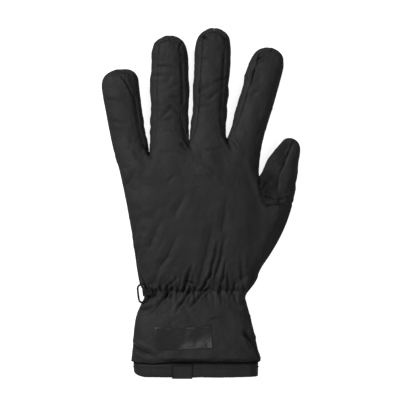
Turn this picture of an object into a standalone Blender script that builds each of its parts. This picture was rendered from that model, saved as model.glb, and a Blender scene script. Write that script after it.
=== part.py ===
"""Padded glove for the left hand, lying palm down with its fingers along +Y.

Lengths are in metres. The origin lies on the resting plane, under the middle of the palm.
+X is the thumb's side and +Z points up from the palm to the back of the hand.
"""
import math
from collections import Counter, namedtuple

import bmesh
import bpy
from mathutils import Matrix, Vector
from mathutils.bvhtree import BVHTree

# Hand: lengths run along Y, from the gathered waist to the webs of the fingers
WAIST_TO_PALM = 0.0615
PALM_TO_KNUCKLES = 0.0560
PALM_THICKNESS = 0.0275
KNUCKLE_THICKNESS = 0.0225
WRIST_WIDTH = 0.0797
WRIST_THICKNESS = 0.0225
THUMB_REACH = 0.0289
WEB_ROOM = 0.0022
FINGER_WEB_DROP = 0.0030
THUMB_WEB_INSET = 0.0022
THUMB_WEB_DROP = 0.0025
THUMB_WEB_RISE = 0.0010

# Cuff, from the waist to the hem
CUFF_LENGTH = 0.0525
HEM_WIDTH = 0.0998
CUFF_THICKNESS = 0.0290
BAND_HEIGHT = 0.0110
BAND_RECESS = 0.0008
BAND_WALL = 0.0022
BAND_ROUNDING = 0.0006

# Digits: length from the web to the tip, and width laid flat
PINKY_LENGTH = 0.0640
RING_LENGTH = 0.0835
MIDDLE_LENGTH = 0.0879
INDEX_LENGTH = 0.0731
THUMB_LENGTH = 0.0344
PINKY_WIDTH = 0.0281
RING_WIDTH = 0.0311
MIDDLE_WIDTH = 0.0278
INDEX_WIDTH = 0.0268
THUMB_WIDTH = 0.0246
FINGER_THICKNESS = 0.0180
THUMB_THICKNESS = 0.0200

# Cloth
WALL = 0.0030
LINING_WALL = 0.0020
LINING_EASE = 0.0012
SEAM_GAP = 0.0003
SEAM_SPARE = 0.00002
FOLD_DEPTH = 0.0013
FOLD_WIDTH = 0.0026

# Trim
PATCH_LENGTH = 0.0430
PATCH_HEIGHT = 0.0172
PATCH_WALL = 0.0005
PATCH_LIFT = 0.00042
LABEL_WIDTH = 0.0156
LABEL_WALL = 0.0005
LABEL_TURN_IN = 0.0015
LABEL_INNER_WALL = 0.0004
LABEL_OUTER_ROOM = 0.0005
LABEL_INNER_ROOM = 0.00015
LINK_LENGTH = 0.0154
LINK_WIDTH = 0.0096
LINK_WIRE = 0.0018
LINK_RISE = 0.0015
TAB_WIDTH = 0.0050
TAB_WALL = 0.0008
TAB_LENGTH = 0.0070
TAB_LIFT = 0.0008
LINK_CLEARANCE = 0.0008
LINK_OVERHANG = 0.0012

# How far the outermost lines of cloth lie inside the glove's side, and the height below
# which cloth lies flat on the resting plane
SIDE_INSET = 0.0050
REST_LIFT = 0.0004

HAND_LENGTH = WAIST_TO_PALM + PALM_TO_KNUCKLES
WAIST_Y = -WAIST_TO_PALM
HEM_Y = WAIST_Y - CUFF_LENGTH

# Lines of cloth from side to side, and the one that runs up the hand beside the index finger
LINES = 10
RIDGE = 8
# Number of the row of cloth, from the hem, through the thumb's web
WEB_ROW = 11
# The knuckles' left end, as a share of their whole width
KNUCKLE_LEFT = -0.548
# Power of a section's curve: 2 is an ellipse, more is squarer
ROUNDNESS = 2.4
# Where a digit's upper and lower seams lie, as shares of its half width, along it and at its tip
TOP_EDGE = 0.66
UNDER_EDGE = 0.60
TIP_EDGE = 0.80
TIP_UNDER_EDGE = 0.74
# Heights as shares of the thickness: the side's widest line, the lower seam, the lower seam
# at a tip, the upper seam at a tip and the cloth over a web
MID_HEIGHT = 0.46
UNDER_RISE = 0.05
TIP_UNDER_RISE = 0.08
TIP_HEIGHT = 0.85
WEB_HEIGHT = 0.80
# Place of the trim: across in shares of the wrist's width, and down in shares of the cuff
PATCH_ACROSS = -0.11
PATCH_DOWN = 0.625
PATCH_TURN = math.radians(3.0)
LABEL_ACROSS = -0.123
LINK_SLANT = math.radians(14.0)

CuffRow = namedtuple("CuffRow", "down left right thick")
HandRow = namedtuple("HandRow", "up left ridge right thick thumb")
Digit = namedtuple("Digit", "length width thick tilt root tip rounding corner rows")
Fold = namedtuple("Fold", "x0 up0 x1 up1 depth")

# Sections of the cuff: place down the cuff, flare of each side, swell of the thickness
CUFF_ROWS = (
    CuffRow(1.00, 0.93, 1.07, 0.93),
    CuffRow(0.83, 0.90, 0.95, 1.00),
    CuffRow(0.58, 0.80, 0.64, 1.00),
    CuffRow(0.31, 0.61, 0.31, 0.72),
    CuffRow(0.12, 0.15, 0.03, 0.28),
)
# Sections of the hand: place up the hand, then how far its left side, the ridge beside the
# index finger and its right side have gone to their widest, its thickness, and how far the
# lower-lying thumb has parted from the hand
HAND_ROWS = (
    HandRow(0.064, 0.13, 0.10, 0.15, 0.86, 0.10),
    HandRow(0.159, 0.24, 0.30, 0.26, 0.92, 0.30),
    HandRow(0.278, 0.32, 0.60, 0.50, 0.97, 0.65),
    HandRow(0.437, 0.44, 0.93, 0.76, 1.00, 1.00),
    HandRow(0.597, 0.59, 1.10, 0.92, 0.99, 1.00),
    HandRow(0.755, 0.76, 1.00, 1.00, 0.95, 1.00),
    HandRow(0.874, 0.90, 0.98, 0.00, 0.90, 0.00),
)
# Digits from the little finger: thickness as a share of the family's, tilt towards +X in
# degrees, width at the root and at the tip as shares of the digit's own width, the rounded
# tip's length in shares of its half width, how far its corners reach, and its rows of cloth
DIGITS = (
    Digit(PINKY_LENGTH, PINKY_WIDTH, 0.96, -9.2, 0.93, 1.03, 0.84, 0.75, 3),
    Digit(RING_LENGTH, RING_WIDTH, 1.00, 0.4, 0.93, 0.88, 0.94, 0.74, 4),
    Digit(MIDDLE_LENGTH, MIDDLE_WIDTH, 1.00, 3.2, 0.97, 0.95, 0.96, 0.72, 4),
    Digit(INDEX_LENGTH, INDEX_WIDTH, 0.98, 16.8, 0.97, 0.95, 0.98, 0.73, 4),
)
THUMB = Digit(THUMB_LENGTH, THUMB_WIDTH, 1.00, 21.0, 1.00, 0.77, 1.20, 0.72, 2)
# How far each finger's root and each web lie above the knuckle line, in shares of the hand
ROOT_RISE = (-0.050, 0.000, 0.014, 0.033)
WEB_RISE = (-0.060, 0.020, 0.033)
KNUCKLE_ENDS_RISE = (-0.046, 0.000)
# Gathers that run out of the elastic waist: each groove's ends, across in shares of the
# wrist's width and up in shares of the hand, and its depth in shares of a full fold
FOLDS = (
    Fold(-0.46, 0.00, -0.53, 0.14, 0.9),
    Fold(-0.32, 0.02, -0.35, 0.08, 0.8),
    Fold(-0.22, 0.03, -0.18, 0.11, 0.8),
    Fold(-0.11, 0.03, -0.04, 0.20, 1.0),
    Fold(0.06, 0.02, 0.15, 0.15, 1.0),
    Fold(0.15, 0.15, 0.22, 0.35, 0.8),
    Fold(0.21, 0.17, 0.29, 0.38, 0.7),
    Fold(0.31, 0.03, 0.31, 0.13, 0.8),
    Fold(-0.22, 0.03, -0.40, -0.12, 0.9),
    Fold(-0.05, 0.03, -0.18, -0.12, 0.9),
    Fold(0.11, 0.03, -0.04, -0.08, 0.9),
    Fold(0.25, 0.03, 0.27, -0.06, 0.7),
)

Station = namedtuple("Station", "top mid under")


def clear_scene():
    for obj in list(bpy.data.objects):
        bpy.data.objects.remove(obj, do_unlink=True)


def new_material(name, colour, roughness):
    material = bpy.data.materials.new(name)
    material.use_nodes = True
    shader = material.node_tree.nodes["Principled BSDF"]
    shader.inputs["Base Color"].default_value = (*colour, 1.0)
    shader.inputs["Roughness"].default_value = roughness
    shader.inputs["Metallic"].default_value = 0.0
    return material


def add_object(collection, name, mesh, material, smooth=True):
    obj = bpy.data.objects.new(name, mesh)
    collection.objects.link(obj)
    obj.data.materials.clear()
    obj.data.materials.append(material)
    if smooth:
        obj.data.shade_smooth()
    return obj


def evaluated_mesh(obj):
    graph = bpy.context.evaluated_depsgraph_get()
    graph.update()
    return bpy.data.meshes.new_from_object(obj.evaluated_get(graph))


def mix(a, b, share):
    return a + (b - a) * share


def bulge(share):
    """Height of a rounded section at a share of its half width, from 1 down to 0."""
    return max(0.0, 1.0 - min(1.0, abs(share)) ** ROUNDNESS) ** (1.0 / ROUNDNESS)


def section_height(x, left, right, thickness):
    half = 0.5 * (right - left)
    return thickness * (0.5 + 0.5 * bulge((x - left - half) / half))


class Cage:
    """The coarse cage of the whole glove: its points, faces and each face's panel."""

    def __init__(self):
        self.points = []
        self.faces = []
        self.panels = []
        self.outline = []

    def point(self, x, y, z):
        self.points.append(Vector((x, y, z)))
        return len(self.points) - 1

    def face(self, corners, panel):
        self.faces.append(corners)
        self.panels.append(panel)

    def sheets(self, lower, upper, panels):
        """Faces between two rows of (top, under) lines."""
        for (a, b), (d, c), (top, under) in zip(zip(lower, lower[1:]), zip(upper, upper[1:]), panels):
            self.face((a[0], b[0], c[0], d[0]), top)
            self.face((a[1], d[1], c[1], b[1]), under)

    def pass_by(self, station, upper_panel, under_panel):
        """Carry the glove's side on to the next station of its outline."""
        if self.outline:
            last = self.outline[-1]
            self.face((last.mid, last.top, station.top, station.mid), upper_panel)
            self.face((last.under, last.mid, station.mid, station.under), under_panel)
        self.outline.append(station)


BACK, PALM, THUMB_IN, THUMB_OUT = "back_panel", "palm_panel", "thumb_inner", "thumb_outer"
FOURCHETTES = ("fourchette_pinky_ring", "fourchette_ring_middle", "fourchette_middle_index")
PANEL_NAMES = (BACK, PALM, *FOURCHETTES, THUMB_IN, THUMB_OUT)


def cuff_section(cage, row):
    """One row of lines round the cuff or the waist, and its two side points."""
    y = WAIST_Y - row.down * CUFF_LENGTH
    left = -0.5 * mix(WRIST_WIDTH, HEM_WIDTH, row.left)
    right = 0.5 * mix(WRIST_WIDTH, HEM_WIDTH, row.right)
    thickness = mix(WRIST_THICKNESS, CUFF_THICKNESS, row.thick)
    lines = []
    for line in range(LINES + 1):
        x = mix(left, right, line / LINES)
        inset = SIDE_INSET if line == 0 else (-SIDE_INSET if line == LINES else 0.0)
        top = cage.point(x + inset, y, section_height(x + inset, left, right, thickness))
        edge = inset != 0.0
        under = cage.point(x + 0.9 * inset, y, UNDER_RISE * thickness if edge else 0.0)
        lines.append((top, under))
    mids = [cage.point(x, y, MID_HEIGHT * thickness) for x in (left, right)]
    return lines, mids


def knuckle_places():
    """Root of each finger and web across the hand, from the widths of the fingers."""
    roots = [digit.width * digit.root for digit in DIGITS]
    across = sum(roots) + (len(roots) - 1) * WEB_ROOM
    left = KNUCKLE_LEFT * across
    x = left
    places = []
    for width in roots:
        places.append(x + 0.5 * width)
        x += width + WEB_ROOM
    webs = []
    for place, width in zip(places[:-1], roots[:-1]):
        webs.append(place + 0.5 * (width + WEB_ROOM))
    return left, left + across, places, webs


def hand_section(cage, row, index):
    """One row of lines over the hand, the thumb's lines at its right included up to the web."""
    y = WAIST_Y + row.up * HAND_LENGTH
    knuckle_left, knuckle_right, _, _ = knuckle_places()
    left = mix(-0.5 * WRIST_WIDTH, knuckle_left, row.left)
    waist_ridge = WRIST_WIDTH * (RIDGE / LINES - 0.5)
    web_x = knuckle_right - THUMB_WEB_INSET
    ridge = mix(waist_ridge, web_x, row.ridge)
    thickness = PALM_THICKNESS * row.thick
    with_thumb = index <= WEB_ROW
    side = web_x + THUMB_REACH
    right = mix(0.5 * WRIST_WIDTH, side, row.right) if with_thumb else web_x
    hand_right = mix(right, ridge + SIDE_INSET, row.thumb) if with_thumb else right
    thumb_thickness = mix(thickness, THUMB_THICKNESS, row.thumb)
    web = index == WEB_ROW
    lines = []
    count = LINES if with_thumb else RIDGE
    for line in range(count + 1):
        x = mix(left, ridge, line / RIDGE) if line <= RIDGE else mix(ridge, right, (line - RIDGE) / 2)
        if line == 0:
            x += SIDE_INSET
        if line == count:
            x = right - SIDE_INSET
        if line <= RIDGE:
            z = section_height(x, left, hand_right, thickness)
        else:
            thumb_left = mix(left, ridge - SIDE_INSET, row.thumb)
            z = section_height(x, thumb_left, right, thumb_thickness)
        line_y = y - THUMB_WEB_DROP if web and line == RIDGE else y
        edge = line in (0, count)
        top = cage.point(x, line_y, z)
        under_x = x if not edge else x - 0.1 * SIDE_INSET * (1 if line == 0 else -1)
        under = cage.point(under_x, line_y, UNDER_RISE * thickness if edge else 0.0)
        lines.append((top, under))
    right_thickness = thumb_thickness if with_thumb else thickness
    mids = [cage.point(left, y, MID_HEIGHT * thickness),
            cage.point(right, y, MID_HEIGHT * right_thickness)]
    if web:
        mids.append(cage.point(ridge, y + THUMB_WEB_RISE, MID_HEIGHT * thickness))
    return lines, mids


def knuckle_section(cage):
    """The row through the finger roots and the webs between them."""
    left, right, places, webs = knuckle_places()
    base = PALM_TO_KNUCKLES
    thickness = KNUCKLE_THICKNESS
    stops = []
    for place, rise in zip(places, ROOT_RISE):
        stops.append((place, base + rise * HAND_LENGTH, False))
    for web, rise in zip(webs, WEB_RISE):
        stops.append((web, base + rise * HAND_LENGTH, True))
    stops.sort()
    left_y = base + KNUCKLE_ENDS_RISE[0] * HAND_LENGTH
    right_y = base + KNUCKLE_ENDS_RISE[1] * HAND_LENGTH
    edge_z = section_height(left + SIDE_INSET, left, right, thickness)
    lines = [(cage.point(left + SIDE_INSET, left_y, edge_z),
              cage.point(left + SIDE_INSET, left_y, UNDER_RISE * thickness))]
    mids = {0: cage.point(left, left_y, MID_HEIGHT * thickness)}
    for line, (x, y, is_web) in enumerate(stops, start=1):
        if is_web:
            top = cage.point(x, y - FINGER_WEB_DROP, WEB_HEIGHT * thickness)
            under = cage.point(x, y - FINGER_WEB_DROP, UNDER_RISE * thickness)
            mids[line] = cage.point(x, y, MID_HEIGHT * thickness)
        else:
            top = cage.point(x, y, section_height(x, left, right, thickness))
            under = cage.point(x, y, 0.0)
        lines.append((top, under))
    lines.append((cage.point(right - SIDE_INSET, right_y, edge_z),
                  cage.point(right - SIDE_INSET, right_y, UNDER_RISE * thickness)))
    mids[RIDGE] = cage.point(right, right_y, MID_HEIGHT * thickness)
    return lines, mids


def grow_digit(cage, digit, base, root, thickness, side_panels, sheet_panels):
    """A finger or thumb that grows out of three lines of the hand.

    base holds the (top, under) pairs at its root. side_panels names the upper and under
    panel on each side, which meet at the tip, and sheet_panels the top and under panel of
    each column.
    """
    lean = math.radians(digit.tilt)
    along = Vector((math.sin(lean), math.cos(lean), 0.0))
    across = Vector((math.cos(lean), -math.sin(lean), 0.0))
    half = 0.5 * digit.width
    round_length = half * digit.rounding
    straight = digit.length - round_length
    sections = []
    for row in range(1, digit.rows + 1):
        share = row / digit.rows
        towards_tip = mix(1.0, digit.tip, max(0.0, 2.0 * share - 1.0))
        spread = half * min(mix(digit.root, 1.0, 2.0 * share), towards_tip)
        centre = root + along * (straight * share)
        lines = []
        for place in (-1, 0, 1):
            top = centre + across * (place * TOP_EDGE * spread)
            under = centre + across * (place * UNDER_EDGE * spread)
            height = thickness * (0.5 + 0.5 * bulge(TOP_EDGE * place))
            lift = UNDER_RISE * thickness * abs(place)
            lines.append((cage.point(top.x, top.y, height), cage.point(under.x, under.y, lift)))
        mids = []
        for place in (-1, 1):
            side = centre + across * (place * spread)
            mids.append(cage.point(side.x, side.y, MID_HEIGHT * thickness))
        sections.append((lines, mids))
    centre = root + along * straight
    tip_lines = []
    tip_mids = []
    for place in (-1, 0, 1):
        forward = digit.corner if place else 1.0
        reach = along * (forward * round_length) + across * (place * digit.corner * half * digit.tip)
        top = centre + reach * TIP_EDGE
        under = centre + reach * TIP_UNDER_EDGE
        tip_lines.append((cage.point(top.x, top.y, TIP_HEIGHT * thickness),
                          cage.point(under.x, under.y, TIP_UNDER_RISE * thickness)))
        side = centre + reach
        tip_mids.append(cage.point(side.x, side.y, MID_HEIGHT * thickness))
    below = base
    for lines, _ in sections:
        cage.sheets(below, lines, sheet_panels)
        below = lines
    cage.sheets(below, tip_lines, sheet_panels)
    left_side, right_side = side_panels
    for lines, mids in sections:
        cage.pass_by(Station(lines[0][0], mids[0], lines[0][1]), *left_side)
    for pair, mid, panels in zip(tip_lines, tip_mids, (left_side, left_side, right_side)):
        cage.pass_by(Station(pair[0], mid, pair[1]), *panels)
    for lines, mids in reversed(sections):
        cage.pass_by(Station(lines[2][0], mids[1], lines[2][1]), *right_side)


def glove_cage():
    """The whole outer surface as one coarse cage, open at the cuff's mouth."""
    cage = Cage()
    rows = [cuff_section(cage, row) for row in CUFF_ROWS]
    rows.append(cuff_section(cage, CuffRow(0.0, 0.0, 0.0, 0.0)))
    for row in HAND_ROWS:
        rows.append(hand_section(cage, row, len(rows)))
    knuckles, knuckle_mids = knuckle_section(cage)
    plain = (BACK, PALM)
    for index, ((lower, _), (upper, _)) in enumerate(zip(rows, rows[1:])):
        panels = [plain] * RIDGE
        thumb_base = index == WEB_ROW - 1
        panels += [(THUMB_IN, THUMB_IN), (THUMB_OUT, THUMB_OUT)] if thumb_base else [plain] * 2
        cage.sheets(lower, upper, panels)
    cage.sheets(rows[-1][0], knuckles, [plain] * RIDGE)

    for lines, mids in rows:
        cage.pass_by(Station(lines[0][0], mids[0], lines[0][1]), *plain)
    cage.pass_by(Station(knuckles[0][0], knuckle_mids[0], knuckles[0][1]), *plain)
    _, _, places, _ = knuckle_places()
    for number, (digit, place) in enumerate(zip(DIGITS, places)):
        left = plain if number == 0 else (FOURCHETTES[number - 1],) * 2
        right = plain if number == len(DIGITS) - 1 else (FOURCHETTES[number],) * 2
        root = Vector((place, PALM_TO_KNUCKLES + ROOT_RISE[number] * HAND_LENGTH, 0.0))
        base = knuckles[2 * number:2 * number + 3]
        grow_digit(cage, digit, base, root, FINGER_THICKNESS * digit.thick,
                   (left, right), [plain, plain])
        line = 2 * number + 2
        cage.pass_by(Station(knuckles[line][0], knuckle_mids[line], knuckles[line][1]), *right)
    for index in range(len(rows) - 1, WEB_ROW, -1):
        lines, mids = rows[index]
        cage.pass_by(Station(lines[-1][0], mids[1], lines[-1][1]), *plain)
    web_lines, web_mids = rows[WEB_ROW]
    cage.pass_by(Station(web_lines[RIDGE][0], web_mids[2], web_lines[RIDGE][1]), *plain)
    inner, outer = (THUMB_IN,) * 2, (THUMB_OUT,) * 2
    web_left = cage.points[web_mids[2]]
    web_right = cage.points[web_mids[1]]
    root = Vector((0.5 * (web_left.x + web_right.x), web_left.y - THUMB_WEB_RISE, 0.0))
    grow_digit(cage, THUMB, web_lines[RIDGE:], root, THUMB_THICKNESS * THUMB.thick,
               (inner, outer), [inner, outer])
    cage.pass_by(Station(web_lines[-1][0], web_mids[1], web_lines[-1][1]), *outer)
    for index in range(WEB_ROW - 1, -1, -1):
        lines, mids = rows[index]
        panels = outer if index == WEB_ROW - 1 else plain
        cage.pass_by(Station(lines[-1][0], mids[1], lines[-1][1]), *panels)
    return cage


def cage_through(points, faces):
    """Move a cage so that its smooth surface passes through the points drawn for it."""
    edges = Counter()
    corners = [set() for _ in points]
    for face in faces:
        for here, there in zip(face, face[1:] + face[:1]):
            edges[frozenset((here, there))] += 1
        for here, opposite in zip(face, face[2:] + face[:2]):
            corners[here].add(opposite)
    near = [set() for _ in points]
    rim = [set() for _ in points]
    for edge, uses in edges.items():
        here, there = tuple(edge)
        near[here].add(there)
        near[there].add(here)
        if uses == 1:
            rim[here].add(there)
            rim[there].add(here)
    moved = [point.copy() for point in points]
    for _ in range(10):
        smooth = []
        for index, point in enumerate(moved):
            if rim[index]:
                total = sum((moved[other] for other in sorted(rim[index])), Vector())
                smooth.append((4.0 * point + total) / 6.0)
                continue
            count = len(near[index])
            beside = sum((moved[other] for other in sorted(near[index])), Vector())
            across = sum((moved[other] for other in sorted(corners[index])), Vector())
            smooth.append((count * count * point + 4.0 * beside + across) / (count * (count + 5)))
        moved = [point + goal - there for point, goal, there in zip(moved, points, smooth)]
    return moved


def smooth_shell(cage, guides):
    """The cage subdivided once and given its wall: outer and inner points, faces and panels."""
    mesh = bpy.data.meshes.new("glove_cage")
    mesh.from_pydata(cage_through(cage.points, cage.faces), [], cage.faces)
    for polygon, panel in zip(mesh.polygons, cage.panels):
        polygon.material_index = PANEL_NAMES.index(panel)
    for name in PANEL_NAMES:
        mesh.materials.append(bpy.data.materials.new(name + "_place"))
    guide = bpy.data.objects.new("glove_cage", mesh)
    guide.hide_render = True
    guide.display_type = "WIRE"
    guides.objects.link(guide)
    smooth = guide.modifiers.new("smooth", "SUBSURF")
    smooth.levels = 1
    smooth.render_levels = 1
    shell = evaluated_mesh(guide)
    outer = [vertex.co.copy() for vertex in shell.vertices]
    wall = guide.modifiers.new("wall", "SOLIDIFY")
    wall.thickness = WALL
    wall.offset = -1.0
    wall.use_even_offset = True
    wall.use_rim = False
    padded = evaluated_mesh(guide)
    inner = [vertex.co.copy() for vertex in padded.vertices][len(outer):]
    faces = [tuple(polygon.vertices) for polygon in shell.polygons]
    panels = [PANEL_NAMES[polygon.material_index] for polygon in shell.polygons]
    return outer, inner, faces, panels


def groove_depth(point):
    """Depth of the gathers at a point of the upper surface."""
    depth = 0.0
    for fold in FOLDS:
        start = Vector((fold.x0 * WRIST_WIDTH, WAIST_Y + fold.up0 * HAND_LENGTH))
        end = Vector((fold.x1 * WRIST_WIDTH, WAIST_Y + fold.up1 * HAND_LENGTH))
        run = end - start
        share = max(0.0, min(1.0, (point.xy - start).dot(run) / run.length_squared))
        away = (point.xy - start - run * share).length / FOLD_WIDTH
        depth = max(depth, fold.depth * FOLD_DEPTH * math.exp(-away * away))
    return depth


def gather(outer, inner):
    """The outer skin with its gathers pressed in, and its underside laid flat."""
    skin = []
    for place, core in zip(outer, inner):
        point = place.copy()
        inward = (core - place).normalized()
        if inward.z < 0.0:
            point += inward * groove_depth(place) * min(1.0, -1.6 * inward.z)
        if point.z < REST_LIFT:
            point.z = 0.0
        skin.append(point)
    return skin


def loop_edges(faces):
    """Directed edges that only one of the faces uses."""
    uses = Counter()
    for face in faces:
        for edge in zip(face, face[1:] + face[:1]):
            uses[frozenset(edge)] += 1
    found = []
    for face in faces:
        for edge in zip(face, face[1:] + face[:1]):
            if uses[frozenset(edge)] == 1:
                found.append((edge, face))
    return found


def pulled_back(points, faces, mouth, room):
    """Points of one panel with its seams drawn back by half of the seam gap."""
    pulls = {}
    for (here, there), face in loop_edges(faces):
        if frozenset((here, there)) in mouth:
            continue
        run = (points[there] - points[here]).normalized()
        centre = sum((points[corner] for corner in face), Vector()) / len(face)
        inward = centre - 0.5 * (points[here] + points[there])
        inward = (inward - run * inward.dot(run)).normalized()
        for corner in (here, there):
            pulls.setdefault(corner, []).append(inward)
    moved = {}
    for corner, directions in pulls.items():
        mean = sum(directions, Vector()) / len(directions)
        strength = max(0.6, mean.length)
        moved[corner] = points[corner] + mean.normalized() * (room / strength)
    return moved


def cut_panel(name, outer, inner, faces, mouth):
    """One panel of the padded shell as a closed solid, with a gap left at its seams."""
    room = 0.5 * SEAM_GAP + SEAM_SPARE
    moved_out = pulled_back(outer, faces, mouth, room)
    moved_in = pulled_back(inner, faces, mouth, room)
    bm = bmesh.new()
    skin = {}
    core = {}
    for face in faces:
        for corner in face:
            if corner not in skin:
                skin[corner] = bm.verts.new(moved_out.get(corner, outer[corner]))
                core[corner] = bm.verts.new(moved_in.get(corner, inner[corner]))
    for face in faces:
        bm.faces.new([skin[corner] for corner in face])
        bm.faces.new([core[corner] for corner in reversed(face)])
    for (here, there), _ in loop_edges(faces):
        if here < there:
            bm.faces.new((skin[there], skin[here], core[there]))
            bm.faces.new((skin[here], core[here], core[there]))
        else:
            bm.faces.new((skin[there], skin[here], core[here]))
            bm.faces.new((skin[there], core[here], core[there]))
    mesh = bpy.data.meshes.new(name)
    bm.to_mesh(mesh)
    bm.free()
    return mesh


def ordered_loop(edges):
    """Corners of the mouth in order, starting at its leftmost one."""
    follow = dict(edges)
    start = min(follow)
    loop = [start]
    while follow[loop[-1]] != start:
        loop.append(follow[loop[-1]])
    return loop


def ring_mesh(name, rings):
    """A closed ring of cloth whose section joins the given loops, first to last and back."""
    bm = bmesh.new()
    loops = [[bm.verts.new(point) for point in ring] for ring in rings]
    for here, there in zip(loops, loops[1:] + loops[:1]):
        for index, corner in enumerate(here):
            after = (index + 1) % len(here)
            bm.faces.new((corner, here[after], there[after], there[index]))
    bmesh.ops.recalc_face_normals(bm, faces=bm.faces)
    mesh = bpy.data.meshes.new(name)
    bm.to_mesh(mesh)
    bm.free()
    return mesh


def at_depth(outer, inner, corner, depth):
    """A point under a corner of the shell, measured inwards through its wall."""
    return outer[corner].lerp(inner[corner], depth / WALL)


def level_loop(outer, inner, loop, depth, y):
    ring = []
    for corner in loop:
        point = at_depth(outer, inner, corner, depth)
        ring.append(Vector((point.x, y, point.z)))
    return ring


def build_hem_band(collection, outer, inner, loop, material):
    top = HEM_Y - SEAM_GAP
    end = top - BAND_HEIGHT
    face = BAND_RECESS
    back = BAND_RECESS + BAND_WALL
    sections = (
        (face, top), (face, mix(top, end, 0.5)), (face, end + BAND_ROUNDING),
        (face + BAND_ROUNDING, end), (back - BAND_ROUNDING, end),
        (back, end + BAND_ROUNDING), (back, top),
    )
    rings = [level_loop(outer, inner, loop, depth, y) for depth, y in sections]
    add_object(collection, "hem_band", ring_mesh("hem_band", rings), material)


def build_lining(collection, cage, outer, inner, loop, material):
    """Fleece inside the cuff and the waist, a coarse tube under every other shell line."""
    depth = WALL + LINING_EASE
    count = len(cage.points)
    per_row = 2 * (LINES + 1) + 2
    rows = len(CUFF_ROWS) + 3
    coarse_loop = [corner for corner in loop if corner < count]
    end = HEM_Y - BAND_HEIGHT + LABEL_TURN_IN + 2.0 * BAND_ROUNDING
    rings = []
    for skin in (depth, depth + LINING_WALL):
        tube = [level_loop(outer, inner, coarse_loop, skin, end)]
        for row in range(rows):
            ring = []
            for corner in coarse_loop:
                ring.append(at_depth(outer, inner, corner + row * per_row, skin))
            tube.append(ring)
        rings += tube if skin == depth else list(reversed(tube))
    add_object(collection, "fleece_lining", ring_mesh("fleece_lining", rings), material)


def plate_on(tree, centre, turn, length, height, columns, rows, lift):
    """A rectangular grid laid down on the shell, with its corners lifted off it."""
    bm = bmesh.new()
    bmesh.ops.create_grid(bm, x_segments=columns, y_segments=rows, size=0.5)
    spread = Matrix.Diagonal((length, height, 1, 1))
    place = Matrix.Translation(centre) @ Matrix.Rotation(turn, 4, "Z") @ spread
    for vertex in bm.verts:
        vertex.co = place @ vertex.co
        above = Vector((vertex.co.x, vertex.co.y, HAND_LENGTH))
        spot, normal, _, _ = tree.ray_cast(above, Vector((0, 0, -1)))
        vertex.co = spot + normal * lift
    mesh = bpy.data.meshes.new("plate")
    bm.to_mesh(mesh)
    bm.free()
    return mesh


def build_patch(collection, tree, material):
    centre = Vector((PATCH_ACROSS * WRIST_WIDTH, WAIST_Y - PATCH_DOWN * CUFF_LENGTH, 0.0))
    mesh = plate_on(tree, centre, PATCH_TURN, PATCH_LENGTH, PATCH_HEIGHT, 12, 5, PATCH_LIFT)
    patch = add_object(collection, "transfer_patch", mesh, material)
    wall = patch.modifiers.new("wall", "SOLIDIFY")
    wall.thickness = PATCH_WALL
    wall.offset = 1.0


def build_label(collection, outer, inner, loop, material):
    """A folded strip over the band: outer leg, turn round the hem, and a short inner leg."""
    middle = LABEL_ACROSS * WRIST_WIDTH
    top = HEM_Y - 2.0 * SEAM_GAP
    end = HEM_Y - SEAM_GAP - BAND_HEIGHT - SEAM_GAP - LABEL_WALL
    ring = level_loop(outer, inner, loop, BAND_RECESS - LABEL_OUTER_ROOM, 0.0)
    behind = level_loop(outer, inner, loop, BAND_RECESS + BAND_WALL + LABEL_INNER_ROOM, 0.0)

    def height(loop_points, x):
        """Height of the upper run of a loop at one place across the glove."""
        best = None
        for here, there in zip(loop_points, loop_points[1:] + loop_points[:1]):
            low, high = sorted((here.x, there.x))
            if low <= x <= high and high > low:
                z = mix(here.z, there.z, (x - here.x) / (there.x - here.x))
                best = z if best is None else max(best, z)
        return best

    bm = bmesh.new()
    columns = []
    steps = 4
    for step in range(steps + 1):
        x = middle + LABEL_WIDTH * (step / steps - 0.5)
        face = height(ring, x)
        back = height(behind, x) - LABEL_WALL
        profile = (
            (top, face), (top, face + LABEL_WALL), (end + 0.4 * LABEL_WALL, face + LABEL_WALL),
            (end, face + 0.4 * LABEL_WALL), (end, back + 0.4 * LABEL_WALL),
            (end + 0.4 * LABEL_WALL, back),
            (end + LABEL_TURN_IN, back), (end + LABEL_TURN_IN, back + LABEL_INNER_WALL),
            (end + LABEL_WALL, back + LABEL_INNER_WALL), (end + LABEL_WALL, face),
        )
        columns.append([bm.verts.new((x, y, z)) for y, z in profile])
    for here, there in zip(columns, columns[1:]):
        for index in range(len(here)):
            after = (index + 1) % len(here)
            bm.faces.new((here[index], here[after], there[after], there[index]))
    bm.faces.new(columns[0])
    bm.faces.new(list(reversed(columns[-1])))
    bmesh.ops.recalc_face_normals(bm, faces=bm.faces)
    bmesh.ops.triangulate(bm, faces=[face for face in bm.faces if len(face.verts) > 4])
    mesh = bpy.data.meshes.new("hem_label")
    bm.to_mesh(mesh)
    bm.free()
    add_object(collection, "hem_label", mesh, material, smooth=False)


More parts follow.
